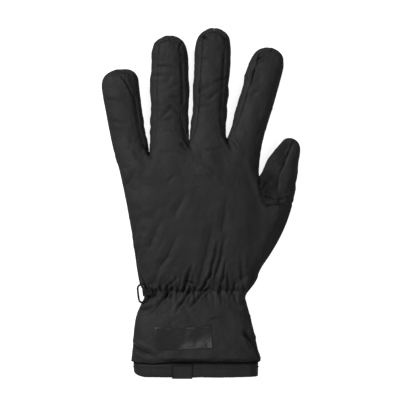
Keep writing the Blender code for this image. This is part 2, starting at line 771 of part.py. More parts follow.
def build_hook(collection, tree, plastic, webbing):
    """A plastic link at the left of the waist and the webbing tab that is folded round it."""
    probe = Vector((-0.70 * WRIST_WIDTH, WAIST_Y + LINK_RISE, 1.20 * WRIST_THICKNESS))
    shoulder = Vector((-0.30 * WRIST_WIDTH, probe.y, 0.5 * WRIST_THICKNESS))
    seat, normal, _, _ = tree.ray_cast(probe, shoulder - probe)
    normal = (normal * Vector((1, 0, 1))).normalized()
    level = Vector((-math.sin(LINK_SLANT), math.cos(LINK_SLANT), 0.0))
    level = (level - normal * level.dot(normal)).normalized()
    outward = level.cross(normal) * -1.0
    if outward.x > 0.0:
        outward = -outward
    rise = 0.5 * LINK_WIRE + SEAM_GAP + TAB_WALL + TAB_LIFT + LINK_CLEARANCE
    bar_half = 0.5 * (LINK_WIDTH - LINK_WIRE)
    centre = seat + normal * rise + outward * (bar_half + LINK_OVERHANG)

    corner = 0.8 * bar_half
    straight = 0.5 * (LINK_LENGTH - LINK_WIRE) - corner
    route = []
    for quarter, (side, end) in enumerate(((1, 1), (-1, 1), (-1, -1), (1, -1))):
        for step in range(5):
            angle = math.radians(90.0 * quarter + 22.5 * step)
            across = side * (bar_half - corner) + corner * math.cos(angle)
            up = end * straight + corner * math.sin(angle)
            route.append(centre + outward * across + level * up)
    curve = bpy.data.curves.new("hook", "CURVE")
    curve.dimensions = "3D"
    curve.bevel_depth = 0.5 * LINK_WIRE
    curve.bevel_resolution = 2
    spline = curve.splines.new("POLY")
    spline.points.add(len(route) - 1)
    for knot, place in zip(spline.points, route):
        knot.co = (*place, 1.0)
    spline.use_cyclic_u = True
    link = bpy.data.objects.new("hook", curve)
    link.data.materials.append(plastic)
    collection.objects.link(link)

    bar = centre - outward * bar_half
    bend = 0.5 * LINK_WIRE + SEAM_GAP + 0.5 * TAB_WALL
    bm = bmesh.new()
    rails = []
    for side in (-1, 0, 1):
        shift = level * (0.5 * side * TAB_WIDTH)
        under_leg = []
        upper_leg = []
        for share in (1.0, 0.7, 0.4):
            ground, lean, _, _ = tree.find_nearest(bar + shift - outward * (share * TAB_LENGTH))
            under = ground + lean * (TAB_LIFT + 0.5 * TAB_WALL)
            under_leg.append(under)
            upper_leg.append(under + lean * (TAB_WALL + SEAM_GAP + (1.0 - share) * LINK_WIRE))
        wrap = []
        for step in range(7):
            angle = math.radians(-90.0 + 30.0 * step)
            turn = outward * math.cos(angle) + normal * math.sin(angle)
            wrap.append(bar + shift + turn * bend)
        rails.append([bm.verts.new(place) for place in under_leg + wrap + upper_leg[::-1]])
    for low, high in zip(rails, rails[1:]):
        for a, b, c, d in zip(low, high, high[1:], low[1:]):
            bm.faces.new((a, b, c, d))
    mesh = bpy.data.meshes.new("hook_tab")
    bm.to_mesh(mesh)
    bm.free()
    tab = add_object(collection, "hook_tab", mesh, webbing)
    wall = tab.modifiers.new("wall", "SOLIDIFY")
    wall.thickness = TAB_WALL
    wall.offset = 0.0


def build_glove():
    clear_scene()
    glove = bpy.data.collections.new("fleece_lined_glove")
    guides = bpy.data.collections.new("guides")
    bpy.context.scene.collection.children.link(glove)
    bpy.context.scene.collection.children.link(guides)
    shell_cloth = new_material("shell_cloth", (0.026, 0.026, 0.027), 0.62)
    thumb_cloth = new_material("thumb_cloth", (0.022, 0.022, 0.023), 0.88)
    fleece = new_material("fleece", (0.030, 0.030, 0.032), 0.95)
    binding = new_material("binding", (0.018, 0.018, 0.019), 0.75)
    gloss = new_material("gloss_transfer", (0.030, 0.032, 0.038), 0.28)
    woven = new_material("woven_label", (0.024, 0.024, 0.026), 0.55)
    plastic = new_material("black_plastic", (0.020, 0.020, 0.021), 0.35)
    webbing = new_material("webbing", (0.020, 0.020, 0.021), 0.80)

    cage = glove_cage()
    outer, inner, faces, panels = smooth_shell(cage, guides)
    mouth_edges = [edge for edge, _ in loop_edges(faces)]
    mouth = {frozenset(edge) for edge in mouth_edges}
    for corner, _ in mouth_edges:
        outer[corner].y = HEM_Y
        inner[corner].y = HEM_Y
    skin = gather(outer, inner)
    for name in PANEL_NAMES:
        chosen = [face for face, panel in zip(faces, panels) if panel == name]
        mesh = cut_panel(name, skin, inner, chosen, mouth)
        cloth = thumb_cloth if name == THUMB_IN else shell_cloth
        add_object(glove, name, mesh, cloth)

    loop = ordered_loop(mouth_edges)
    build_hem_band(glove, outer, inner, loop, binding)
    build_lining(glove, cage, outer, inner, loop, fleece)
    tree = BVHTree.FromPolygons(skin, faces)
    build_patch(glove, tree, gloss)
    build_label(glove, outer, inner, loop, woven)
    build_hook(glove, tree, plastic, webbing)


build_glove()
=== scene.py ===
"""Dresses the fleece-lined glove: padded cloth, gathers, seams, trim, floor and light.

Lengths are in metres unless a name or a table says millimetres. The glove lies palm down on
the floor, its fingers along +Y and its thumb towards +X, and is looked at from above.
"""

import math
from collections import namedtuple

import bmesh
import bpy
import numpy as np
from mathutils import Matrix, Vector, noise
from mathutils.bvhtree import BVHTree
from mathutils.kdtree import KDTree


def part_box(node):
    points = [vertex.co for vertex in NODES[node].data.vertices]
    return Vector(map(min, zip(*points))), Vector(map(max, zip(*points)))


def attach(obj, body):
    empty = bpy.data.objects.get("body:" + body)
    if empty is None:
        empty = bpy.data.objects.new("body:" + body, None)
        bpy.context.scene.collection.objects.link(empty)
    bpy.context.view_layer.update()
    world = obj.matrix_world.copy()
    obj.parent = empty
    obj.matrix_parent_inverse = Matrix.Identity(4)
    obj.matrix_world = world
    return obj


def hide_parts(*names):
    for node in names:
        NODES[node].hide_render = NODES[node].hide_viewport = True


bl_info = {
    "name": "Fleece-Lined Glove",
    "version": (1, 0, 0),
    "blender": (4, 5, 0),
    "location": "3D View > Sidebar > Glove",
    "description": "Padded glove with gathered waist, hem band, fleece lining and trim",
    "category": "Object",
}

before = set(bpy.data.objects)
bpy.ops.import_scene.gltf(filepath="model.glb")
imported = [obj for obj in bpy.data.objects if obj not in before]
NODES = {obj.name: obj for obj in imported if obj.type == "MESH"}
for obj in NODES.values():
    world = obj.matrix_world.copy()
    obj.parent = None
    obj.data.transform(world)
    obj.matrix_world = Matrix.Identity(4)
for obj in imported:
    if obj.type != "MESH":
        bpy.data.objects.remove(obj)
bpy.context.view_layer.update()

MM = 0.001
DOWN = Vector((0.0, 0.0, -1.0))
BACK = "back_panel"
PALM = "palm_panel"
FOURCHETTES = ("fourchette_pinky_ring", "fourchette_ring_middle", "fourchette_middle_index")
THUMB_HALVES = ("thumb_inner", "thumb_outer")
CLOTH_NODES = (BACK, PALM, *FOURCHETTES, *THUMB_HALVES)

PATCH_LENGTH = 0.0430
PATCH_HEIGHT = 0.0172
PATCH_TURN = 3.0
PATCH_FADE = 0.003

SHELL_HEM_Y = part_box(BACK)[0].y
WAIST_Y = SHELL_HEM_Y + 0.0525
ELASTIC_Y = WAIST_Y + 0.0030
CUFF_MIDDLE = (0.0, 0.013)

# Folds of the back, in millimetres from the origin: X and Y of both ends, half width and depth.
# A negative depth is a ridge.
Fold = namedtuple("Fold", "x0 y0 x1 y1 width depth")
WAIST_FOLDS = (
    (-36.3, -61.3, -42.2, -45.9, 1.5, 1.7), (-25.7, -59.5, -28.0, -52.9, 1.0, 1.2),
    (-21.4, -61.5, -20.2, -52.9, 1.1, 1.3), (-21.8, -56.8, -14.4, -48.2, 1.1, 1.1),
    (-32.3, -53.0, -27.2, -39.7, 2.0, 0.9), (-8.9, -58.5, -3.0, -38.9, 1.3, 2.2),
    (-5.7, -51.3, 0.3, -52.9, 1.0, 1.2), (4.7, -58.0, 12.3, -45.0, 1.2, 2.2),
    (11.5, -47.0, 17.8, -20.9, 1.4, 1.6), (16.7, -43.7, 23.3, -17.7, 2.0, 1.2),
    (21.0, -50.6, 23.8, -36.3, 1.2, 1.1), (18.7, -60.1, 19.5, -53.7, 1.0, 1.1),
    (24.9, -58.8, 24.9, -47.1, 1.0, 1.3), (35.8, -47.9, 35.2, -32.7, 1.8, 1.0),
    (41.8, -56.5, 45.0, -45.9, 2.2, 1.8), (30.0, -58.5, 31.5, -50.0, 1.2, 1.0),
    (-1.0, -59.0, 1.5, -53.0, 1.0, 1.0), (-13.5, -59.5, -12.0, -53.5, 1.0, 1.0),
    (-41.2, -72.8, -31.4, -70.6, 1.8, 1.7), (-17.7, -56.8, -32.4, -75.0, 1.3, 2.0),
    (-4.0, -58.0, -14.4, -74.5, 1.2, 2.0), (9.0, -57.0, -3.0, -70.0, 1.2, 1.8),
    (20.0, -56.8, 21.0, -67.7, 1.6, 1.1), (30.0, -59.0, 32.0, -68.0, 1.6, 0.9),
    (-29.0, -58.5, -34.0, -65.0, 1.2, 1.2), (13.2, -80.4, 21.0, -78.8, 1.0, 1.0),
    (36.3, -73.1, 42.8, -80.9, 1.4, -0.9), (-48.5, -101.2, -32.5, -108.2, 2.2, 2.6),
    (39.8, -92.6, 48.5, -104.0, 2.2, 3.0), (46.2, -104.8, 49.0, -113.0, 1.2, 1.2),
)
HAND_FOLDS = (
    (3.9, -46.7, 13.2, -7.8, 3.4, 1.1), (-24.9, -36.6, -14.8, -17.9, 2.8, 1.1),
    (-35.0, -23.3, -27.2, -5.4, 2.8, 1.0), (-45.9, -33.5, -42.0, -17.9, 2.0, 0.7),
    (-47.5, -13.2, -42.8, -2.3, 2.4, 0.7), (21.0, -10.1, 24.1, 11.7, 2.8, 0.9),
    (-14.8, 2.3, -8.6, 14.8, 2.8, 0.9), (-52.9, 24.1, -45.9, 35.0, 1.8, 0.7),
    (-19.5, 27.2, -15.6, 31.1, 1.5, 0.6), (0.8, 31.9, 11.7, 31.9, 0.9, -0.5),
    (0.8, 22.6, 7.8, 22.6, 0.9, -0.4), (-25.7, 49.0, -5.0, 49.0, 2.0, 0.4),
    (40.5, 41.2, 47.5, 23.3, 2.4, -0.5), (47.5, 23.3, 53.7, 6.2, 2.2, -0.6),
    (-10.9, 54.5, -3.9, 50.6, 1.4, 0.6), (11.7, 50.6, 24.1, 53.7, 1.5, 0.7),
    (56.0, 6.5, 60.7, 6.0, 1.0, 1.2),
)
FINGER_FOLDS = (
    (-28.8, 115.5, -12.4, 114.4, 1.4, 0.7), (-31.1, 108.1, -17.9, 107.4, 1.6, 0.8),
    (-14.8, 101.9, -23.3, 95.7, 1.8, 0.6), (-17.9, 91.0, -10.9, 91.0, 1.2, 0.6),
    (-24.9, 77.0, -18.7, 83.2, 1.5, 0.9), (-18.7, 83.2, -11.7, 79.4, 1.5, 0.8),
    (-27.2, 73.1, -14.0, 75.5, 1.6, 0.6), (-22.6, 65.4, -11.7, 65.4, 1.3, 0.7),
    (5.4, 139.0, 10.9, 136.0, 1.3, 1.9), (22.0, 139.0, 24.1, 135.5, 1.3, 1.7),
    (6.2, 120.6, 13.2, 119.0, 1.5, 0.5), (16.3, 104.3, 25.7, 107.4, 1.3, 0.8),
    (2.3, 94.9, 14.8, 101.9, 1.6, 0.7), (12.4, 91.0, 21.0, 98.8, 1.4, 0.8),
    (1.6, 83.2, 13.2, 84.8, 1.3, 0.5), (15.6, 74.7, 21.0, 75.0, 1.0, 0.4),
    (49.0, 122.1, 52.9, 119.8, 1.0, 0.9), (45.0, 93.4, 50.0, 98.0, 1.8, 0.5),
    (-66.0, 90.0, -58.0, 88.0, 1.8, 0.5), (-62.0, 72.0, -54.0, 70.0, 1.8, 0.5),
)
THUMB_FOLDS = (
    (56.0, 14.0, 61.2, 11.7, 1.1, 1.5), (60.7, 11.4, 73.0, 13.4, 1.0, 1.2),
    (63.5, 10.4, 73.5, 8.6, 1.0, 0.8), (51.3, 22.6, 56.0, 27.2, 0.9, -0.7),
    (52.5, 20.5, 57.5, 25.0, 1.1, 0.9), (74.5, 55.5, 70.5, 46.5, 1.2, -0.8),
    (60.0, 40.0, 66.0, 45.0, 1.6, 0.5),
)
# Pinches where seams and webs draw the cloth together
PINCHES = (
    (-53.7, 104.0, -48.5, 92.0, 1.0, 1.4), (-57.2, 107.5, -53.7, 102.5, 0.9, 0.9),
    (45.8, 112.5, 43.0, 99.0, 1.1, 1.4), (49.3, 125.3, 47.6, 114.0, 0.9, 1.0),
    (-37.0, 51.0, -33.6, 45.4, 1.5, 2.2), (-7.8, 58.3, -2.6, 51.8, 1.5, 2.2),
    (-10.6, 55.8, -6.5, 51.0, 1.0, 1.3), (24.4, 58.6, 28.8, 51.0, 1.5, 2.2),
    (28.4, 57.5, 32.5, 52.6, 1.0, 1.3), (-10.3, 133.5, -12.6, 127.5, 0.9, 0.9),
    (-30.0, 135.5, -27.5, 131.5, 0.8, 0.6), (49.3, 120.5, 54.0, 121.8, 0.9, 1.2),
)
FOLDS = [Fold(*row) for row in WAIST_FOLDS + HAND_FOLDS + FINGER_FOLDS + THUMB_FOLDS + PINCHES]

# How far the padded hem hangs past its seam, both in millimetres: place across, overhang
HEM_OVERHANG = (
    (-48.5, -0.6), (-41.0, 0.6), (-32.7, 1.1), (-24.0, -0.2), (-18.0, -1.3), (-8.0, -2.3),
    (3.0, -1.6), (12.0, -1.2), (27.0, -1.5), (36.0, -0.6), (43.0, -1.3), (49.5, -0.9),
)

# Tone of the thumb's inner half, in millimetres: centre, half widths across and along, amount.
# Positive lightens the colour: the paler, worn nap, and in the three small spots by the seam
# near the tip a painted highlight. Negative is painted shade, dark in the web.
THUMB_TONES = (
    (53.2, 22.6, 5.0, 6.5, -0.85), (58.0, 31.0, 2.5, 4.0, -0.35), (64.0, 38.0, 4.5, 7.0, 0.22),
    (70.3, 47.6, 1.1, 1.6, 0.55), (71.8, 50.0, 1.1, 1.6, 0.65), (73.2, 52.4, 1.1, 1.6, 0.55),
    (60.5, 17.0, 5.0, 4.0, 0.12),
)

# Cross-section of a fold in half widths: a sharp groove in a broad one, with a lip beside it.
# Shares are of the fold's depth.
SHARP_SHARE, SHARP_WIDTH, SHARP_POWER = 0.55, 0.55, 1.4
BROAD_SHARE, BROAD_WIDTH = 0.45, 1.15
LIP_SHARE, LIP_PLACE, LIP_WIDTH = 0.45, 1.8, 0.8
FOLD_END, FOLD_TAPER = 1.3, 0.65
# The painted shade line in a fold, in millimetres: its half width, what a wide and a deep
# fold add to it, and the depths from which it widens and is darkest
LINE_WIDTH, LINE_PER_WIDTH, LINE_PER_DEPTH = 0.30, 0.22, 0.30
DEEP_FOLD, DARK_FOLD = 2.0, 1.7

# Noise of the cloth: length of its waves in metres, and seed
PUCKER_NOISE = (0.0036, 3.1)
SLACK_NOISE, FINE_SLACK_NOISE = (0.017, 7.7), (0.0085, 57.0)
BILLOW_NOISE, FINE_BILLOW_NOISE = (0.0105, 1.3), (0.0046, 41.0)
PATCHY_NOISE = (0.030, 31.0)
SEAM_NOISE, SEAM_SHADE_NOISE = (0.0050, 13.0), (0.006, 19.0)
WANDER_X_NOISE, WANDER_Y_NOISE = (0.007, 11.0), (0.007, 17.0)
RIPPLE_NOISE, FINE_RIPPLE_NOISE = (0.0044, 5.0), (0.0022, 15.0)
RIPPLE_SHADE_NOISE = (0.004, 27.0)
HEM_ROLL_NOISE, HEM_SHADE_NOISE = (0.012, 23.0), (0.009, 83.0)
NAP_NOISE = (0.0035, 61.0)
BAND_SHADE_NOISE = (0.007, 71.0)
FINE_SHARE = 0.45
# Height, length and seed of the waves of the hem band and of the pile
BAND_WAVES = ((0.25 * MM, 0.009, 2.0), (0.12 * MM, 0.0035, 9.0))
PILE_WAVES = ((0.35 * MM, 0.0030, 4.0), (0.30 * MM, 0.0014, 6.0))

# Distances in metres over which the cloth is held, calms down or dips beside a rim or a seam
HOLD_REACH = 0.0012
SPARE_REACH = 0.022
FREE_REACH = 0.0016
PUCKER_REACH = 0.0036
SEAM_REACH = 0.0011
# Half width of the painted shade line along a seam
SEAM_LINE = 0.6 * MM
SEAM_GAP = 0.8 * MM
# Share of the spare cloth away from the gathers, and frames of the simulation
FLAT_SPARE = 0.25
SIMULATION_FRAMES = 18
# The calm middle of the back of the hand in metres: centre and half widths
CALM_SPOT = (0.002, 0.008, 0.024, 0.030)
# The ring finger's edge beside the little finger, where the seam lies flat: middle and half
# width in millimetres, lowest Y in metres
EDGE_X, EDGE_WIDTH, EDGE_LOW_Y = -33.0, 4.0, 0.055
# Outer edges of the fingers in metres; the little finger's leans with Y
LITTLE_EDGE_X, LITTLE_EDGE_LEAN, LITTLE_EDGE_Y = -60.0 * MM, 0.25, 0.11
INDEX_EDGE_X = 40.0 * MM
# Slope of the back towards the thumb, in millimetres: its start, middle and reach along Y
SLOPE, SLOPE_X, SLOPE_Y, SLOPE_REACH = 0.12, 38.0, -10.0, 26.0
# Gathers at the elastic, in millimetres: reach above and below it, and its narrow dip in metres
GATHER_ABOVE, GATHER_BELOW = 10.0, 7.0
ELASTIC_DIP = 0.0008
# The padded hem: place and half width of its roll in millimetres, heights in metres
ROLL_UP, ROLL_WIDTH = 3.8, 3.4
ROLL_HEIGHT, ROLL_CHANGE = 0.0010, 0.0008
HEM_FLARE = 0.0007
# The hem band's rounded lower corner and its row of stitches, in metres, and rays round it
CORNER_X, CORNER_WIDTH, CORNER_RISE = -38.0 * MM, 10.4 * MM, 5.6 * MM
STITCH_DROP = 0.0034
RAYS_ROUND = 720

# Middle of the picture, half the glove's depth and width of the camera's sensor
PICTURE_X, PICTURE_Y = 0.0039, 0.0117
HALF_DEPTH = 0.012
SENSOR_WIDTH = 36.0


class GloveCloth(bpy.types.PropertyGroup):
    """Sizes of the padded cloth."""
    puff: bpy.props.FloatProperty(
        name="Puff", description="How far the padding swells the cloth between seams",
        default=0.0008, min=0.0, unit="LENGTH")
    puff_run: bpy.props.FloatProperty(
        name="Puff run", description="Distance from a seam over which the padding swells",
        default=0.0040, min=0.0001, unit="LENGTH")
    pucker: bpy.props.FloatProperty(
        name="Pucker", description="Height of the small puckers beside a seam",
        default=0.0011, min=0.0, unit="LENGTH")
    seam_depth: bpy.props.FloatProperty(
        name="Seam depth", description="How deep a seam pulls the cloth in",
        default=0.0010, min=0.0, unit="LENGTH")
    crinkle: bpy.props.FloatProperty(
        name="Crinkle", description="Height of the small crinkles of the shell",
        default=0.0015, min=0.0, unit="LENGTH")
    slack: bpy.props.FloatProperty(
        name="Slack", description="Height of the cloth's soft, broad waves",
        default=0.0009, min=0.0, unit="LENGTH")
    fold_strength: bpy.props.FloatProperty(
        name="Fold strength", description="Scale of the depth of all folds",
        default=1.0, min=0.0)
    gather: bpy.props.FloatProperty(
        name="Gather", description="Height of the fine gathers at the elastic",
        default=0.0018, min=0.0, unit="LENGTH")
    pressure: bpy.props.FloatProperty(
        name="Pressure", description="Pressure of the padding in the simulation",
        default=120.0, min=0.0)
    spare: bpy.props.FloatProperty(
        name="Spare cloth", description="Share of spare length at the gathers",
        default=0.12, min=0.0)
    stiffness: bpy.props.FloatProperty(
        name="Bending stiffness", description="How stiffly the padded cloth bends",
        default=0.3, min=0.0)
    side_fill: bpy.props.FloatProperty(
        name="Side fill", description="How far the filled fingers swell sideways",
        default=0.0009, min=0.0, unit="LENGTH")
    cap: bpy.props.FloatProperty(
        name="Cap", description="Furthest that the simulation may move a point",
        default=0.0014, min=0.0, unit="LENGTH")


class GloveColours(bpy.types.PropertyGroup):
    """Colours of the glove's materials."""
    shell: bpy.props.FloatVectorProperty(
        name="Shell", description="Smooth woven shell cloth", subtype="COLOR",
        size=3, default=(0.0215, 0.0215, 0.0226), min=0.0, max=1.0)
    thumb: bpy.props.FloatVectorProperty(
        name="Thumb", description="Napped cloth of the thumb's inner half", subtype="COLOR",
        size=3, default=(0.011, 0.011, 0.0115), min=0.0, max=1.0)
    fleece: bpy.props.FloatVectorProperty(
        name="Fleece", description="Brushed lining", subtype="COLOR",
        size=3, default=(0.022, 0.022, 0.024), min=0.0, max=1.0)
    band: bpy.props.FloatVectorProperty(
        name="Hem band", description="Woven binding round the hem", subtype="COLOR",
        size=3, default=(0.013, 0.013, 0.0145), min=0.0, max=1.0)
    trim: bpy.props.FloatVectorProperty(
        name="Trim", description="Transfer, label and link", subtype="COLOR",
        size=3, default=(0.010, 0.010, 0.0115), min=0.0, max=1.0)


class GloveStage(bpy.types.PropertyGroup):
    """Width of the picture and height of the camera."""
    picture_width: bpy.props.FloatProperty(
        name="Picture width", description="Width of the picture at the glove",
        default=0.3112, unit="LENGTH")
    camera_height: bpy.props.FloatProperty(
        name="Camera height", description="Height of the camera above the floor",
        default=1.60, unit="LENGTH")


def add_object(name, data):
    made = bpy.data.objects.new(name, data)
    bpy.context.scene.collection.objects.link(made)
    return made


def activate(piece):
    bpy.ops.object.select_all(action="DESELECT")
    piece.select_set(True)
    bpy.context.view_layer.objects.active = piece


def apply_modifier(piece, kind, **settings):
    """Add one modifier, set it up and apply it."""
    modifier = piece.modifiers.new(kind.lower(), kind)
    for name, value in settings.items():
        setattr(modifier, name, value)
    activate(piece)
    bpy.ops.object.modifier_apply(modifier=modifier.name)


def subdivide(piece, levels, **settings):
    apply_modifier(piece, "SUBSURF", levels=levels, render_levels=levels, **settings)


def smooth_piece(piece, degrees=55.0):
    activate(piece)
    bpy.ops.object.shade_smooth_by_angle(angle=math.radians(degrees))


def seat(piece, slot, material, *nodes):
    """Give a finished piece its material and body, and hide the solids it stands for.

    The slot is not used.
    """
    piece.data.materials.clear()
    piece.data.materials.append(material)
    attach(piece, "root")
    if nodes:
        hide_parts(*nodes)


def cloth_copy(node, name, sharp_degrees=50.0):
    """A copy of a solid with its loose triangles merged into quads and its rims creased."""
    piece = add_object(name, NODES[node].data.copy())
    bm = bmesh.new()
    bm.from_mesh(piece.data)
    bmesh.ops.remove_doubles(bm, verts=bm.verts, dist=0.01 * MM)
    bmesh.ops.join_triangles(
        bm, faces=bm.faces, angle_face_threshold=math.radians(40.0),
        angle_shape_threshold=math.radians(55.0))
    crease = bm.edges.layers.float.new("crease_edge")
    rims = []
    for edge in bm.edges:
        if len(edge.link_faces) == 2 and edge.calc_face_angle() > math.radians(sharp_degrees):
            edge[crease] = 1.0
            rims.append((edge.verts[0].co.copy(), edge.verts[1].co.copy()))
    bm.to_mesh(piece.data)
    bm.free()
    return piece, rims


def rim_tree(rims, spacing=0.0008):
    """Points along the rims of a panel, for the distance to its nearest seam."""
    points = []
    for start, end in rims:
        steps = max(1, int((end - start).length / spacing))
        points += [start.lerp(end, step / steps) for step in range(steps)]
    tree = KDTree(len(points))
    for index, point in enumerate(points):
        tree.insert(point, index)
    tree.balance()
    return tree


def surface_tree(*pieces):
    """One search tree over the surfaces of some pieces."""
    points = []
    faces = []
    for piece in pieces:
        base = len(points)
        points += [vertex.co.copy() for vertex in piece.data.vertices]
        faces += [tuple(base + corner for corner in polygon.vertices)
                  for polygon in piece.data.polygons]
    return BVHTree.FromPolygons(points, faces)


def beside(node):
    """Search tree over the cloth that is sewn to one panel."""
    return surface_tree(*[NODES[name] for name in CLOTH_NODES if name != node])


def vertex_arrays(mesh):
    """Places and normals of a mesh's vertices."""
    count = len(mesh.vertices)
    places = np.empty(count * 3, np.float32)
    normals = np.empty(count * 3, np.float32)
    mesh.vertices.foreach_get("co", places)
    mesh.vertex_normals.foreach_get("vector", normals)
    return places.reshape(-1, 3).astype(float), normals.reshape(-1, 3).astype(float)


def move_vertices(mesh, places, low_z=None):
    """Put the vertices at new places, none of them lower than a height if one is given."""
    if low_z is not None:
        places[:, 2] = np.maximum(places[:, 2], low_z)
    mesh.vertices.foreach_set("co", places.astype(np.float32).ravel())
    mesh.update()


def paint(piece, name, values):
    """Store one value at each vertex for the materials."""
    layer = piece.data.attributes.new(name, "FLOAT", "POINT")
    layer.data.foreach_set("value", np.asarray(values, np.float32))


def wave(points, scale, seed):
    """Smooth noise from -1 to 1 at each point, with waves about scale long."""
    shift = Vector((seed, 0.37 * seed, -0.61 * seed))
    return np.array([noise.noise(Vector(point) / scale + shift) for point in points])


def bell(distance, width, power=2):
    """One at no distance, falling to nought past the width."""
    return np.exp(-(distance / width) ** power)


def ramp(values, start, run):
    """Nought up to the start, then rising to one over the run."""
    return np.clip((values - start) / run, 0.0, 1.0)


def oval_spot(across, along, x, y, half_x, half_y):
    """One at the middle of an oval, falling to nought outside it."""
    return np.exp(-((across - x) / half_x) ** 2 - ((along - y) / half_y) ** 2)


def roughen(places, normals, waves):
    """Move places along their normals by waves given as height, length and seed."""
    total = sum(height * wave(places, length, seed) for height, length, seed in waves)
    return places + normals * total[:, None]


def fold_shape(x, y):
    """Height of the folds, and their painted shade, at places given in millimetres."""
    height = np.zeros_like(x)
    shade = np.zeros_like(x)
    for fold in FOLDS:
        run = np.array((fold.x1 - fold.x0, fold.y1 - fold.y0))
        length = math.hypot(*run)
        run /= length
        along = (x - fold.x0) * run[0] + (y - fold.y0) * run[1]
        aside = -(x - fold.x0) * run[1] + (y - fold.y0) * run[0]
        share = np.clip(along / length, 0.0, 1.0)
        past = np.maximum(0.0, np.maximum(-along, along - length))
        fade = bell(past, FOLD_END * fold.width) * (1.0 - FOLD_TAPER * share ** 2)
        across = np.abs(aside) / fold.width
        groove = SHARP_SHARE * bell(across, SHARP_WIDTH, SHARP_POWER)
        groove += BROAD_SHARE * bell(across, BROAD_WIDTH)
        lip = LIP_SHARE * bell(across - LIP_PLACE, LIP_WIDTH)
        height += fold.depth * fade * (lip - groove)
        # Painted shade: a dark line along the bottom of each fold
        if fold.depth > 0.0:
            half_line = LINE_WIDTH + LINE_PER_WIDTH * fold.width
            half_line += LINE_PER_DEPTH * max(0.0, fold.depth - DEEP_FOLD)
            dark = min(1.0, fold.depth / DARK_FOLD) * fade * bell(aside, half_line)
            shade = np.maximum(shade, dark)
    return height, shade


def hold_weights(piece, rims, hem):
    """Weights of what a simulation holds, seams and elastic, and of the spare cloth."""
    places, _ = vertex_arrays(piece.data)
    tree = rim_tree(rims)
    distance = np.array([tree.find(place)[2] for place in places])
    held = np.clip(1.6 - distance / HOLD_REACH, 0.0, 1.0)
    extra = np.full_like(held, FLAT_SPARE)
    if hem:
        from_elastic = places[:, 1] - ELASTIC_Y
        held = np.maximum(held, bell(from_elastic, HOLD_REACH))
        extra = FLAT_SPARE + (1.0 - FLAT_SPARE) * bell(from_elastic, SPARE_REACH)
    return held, extra


def fill_group(piece, name, weights):
    group = piece.vertex_groups.new(name=name)
    for index, weight in enumerate(weights):
        group.add([index], float(weight), "REPLACE")
    return group.name


def settle_cloth(piece, rims, hem=False, low_z=None):
    """Blow the padded cloth up a little with spare length in it, its seams held, so it buckles."""
    cloth = bpy.context.scene.glove_cloth
    held, extra = hold_weights(piece, rims, hem)
    before, _ = vertex_arrays(piece.data)
    modifier = piece.modifiers.new("cloth", "CLOTH")
    settings = modifier.settings
    settings.quality = 6
    settings.mass = 0.2
    settings.tension_stiffness = 18.0
    settings.compression_stiffness = 18.0
    settings.shear_stiffness = 6.0
    settings.bending_stiffness = cloth.stiffness
    settings.use_pressure = True
    settings.uniform_pressure_force = cloth.pressure
    settings.effector_weights.gravity = 0.0
    settings.vertex_group_mass = fill_group(piece, "held", held)
    settings.vertex_group_shrink = fill_group(piece, "extra", extra)
    settings.shrink_min = 0.0
    settings.shrink_max = -cloth.spare
    modifier.collision_settings.use_collision = False
    modifier.point_cache.frame_start = 1
    modifier.point_cache.frame_end = SIMULATION_FRAMES
    scene = bpy.context.scene
    for frame_number in range(1, SIMULATION_FRAMES + 1):
        scene.frame_set(frame_number)
    activate(piece)
    bpy.ops.object.modifier_apply(modifier=modifier.name)
    scene.frame_set(1)
    after, _ = vertex_arrays(piece.data)
    shift = after - before
    length = np.linalg.norm(shift, axis=1)
    shift *= (cloth.cap * np.tanh(length / cloth.cap) / np.maximum(length, 1e-9))[:, None]
    move_vertices(piece.data, before + shift, low_z)
    piece.vertex_groups.clear()


def close_seams(piece, node, reach=0.60 * MM):
    """Bring the faces of each seam together, halfway across the gap between two solids."""
    tree = beside(node)
    for vertex in piece.data.vertices:
        spot, _, _, distance = tree.find_nearest(vertex.co, reach)
        if spot is not None and distance > 0.06 * MM:
            vertex.co = vertex.co.lerp(spot, 0.5 - 0.02 * MM / distance)
    piece.data.update()


def along_skin(node, places, normals):
    """Normals with what points across a seam to the next panel taken out."""
    tree = beside(node)
    skin = normals.copy()
    for index, place in enumerate(places):
        spot, _, _, distance = tree.find_nearest(Vector(place), 1.2 * MM)
        if spot is not None and distance > 1e-6:
            across = (np.array(spot) - place) / distance
            skin[index] -= across * skin[index].dot(across)
    length = np.linalg.norm(skin, axis=1)
    shortest = 0.25
    return skin * ramp(length, shortest, 0.4)[:, None] / np.maximum(length, shortest)[:, None]


def patch_mask(places):
    """One under the transfer patch, falling to nought just outside it."""
    low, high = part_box("transfer_patch")
    centre = 0.5 * (low + high)
    turn = math.radians(PATCH_TURN)
    x = (places[:, 0] - centre.x) * math.cos(turn) + (places[:, 1] - centre.y) * math.sin(turn)
    y = (places[:, 1] - centre.y) * math.cos(turn) - (places[:, 0] - centre.x) * math.sin(turn)
    over = np.maximum(np.abs(x) - 0.5 * PATCH_LENGTH, np.abs(y) - 0.5 * PATCH_HEIGHT)
    return np.clip(1.0 - over / PATCH_FADE, 0.0, 1.0)


def side_fill_share(places):
    """One on the fingers, the thumb and the thumb's side of the hand, nought elsewhere."""
    x, y = places[:, 0], places[:, 1]
    little_edge = LITTLE_EDGE_X + LITTLE_EDGE_LEAN * (LITTLE_EDGE_Y - y)
    outer = (x < little_edge) | (x > INDEX_EDGE_X)
    fingers = np.where(outer, ramp(y / MM, 35.0, 15.0), 0.8 * ramp(y / MM, 90.0, 20.0))
    thumb_side = ramp(x / MM, 36.0, 10.0) * ramp(y / MM, -70.0, 10.0)
    return np.maximum(fingers, thumb_side)


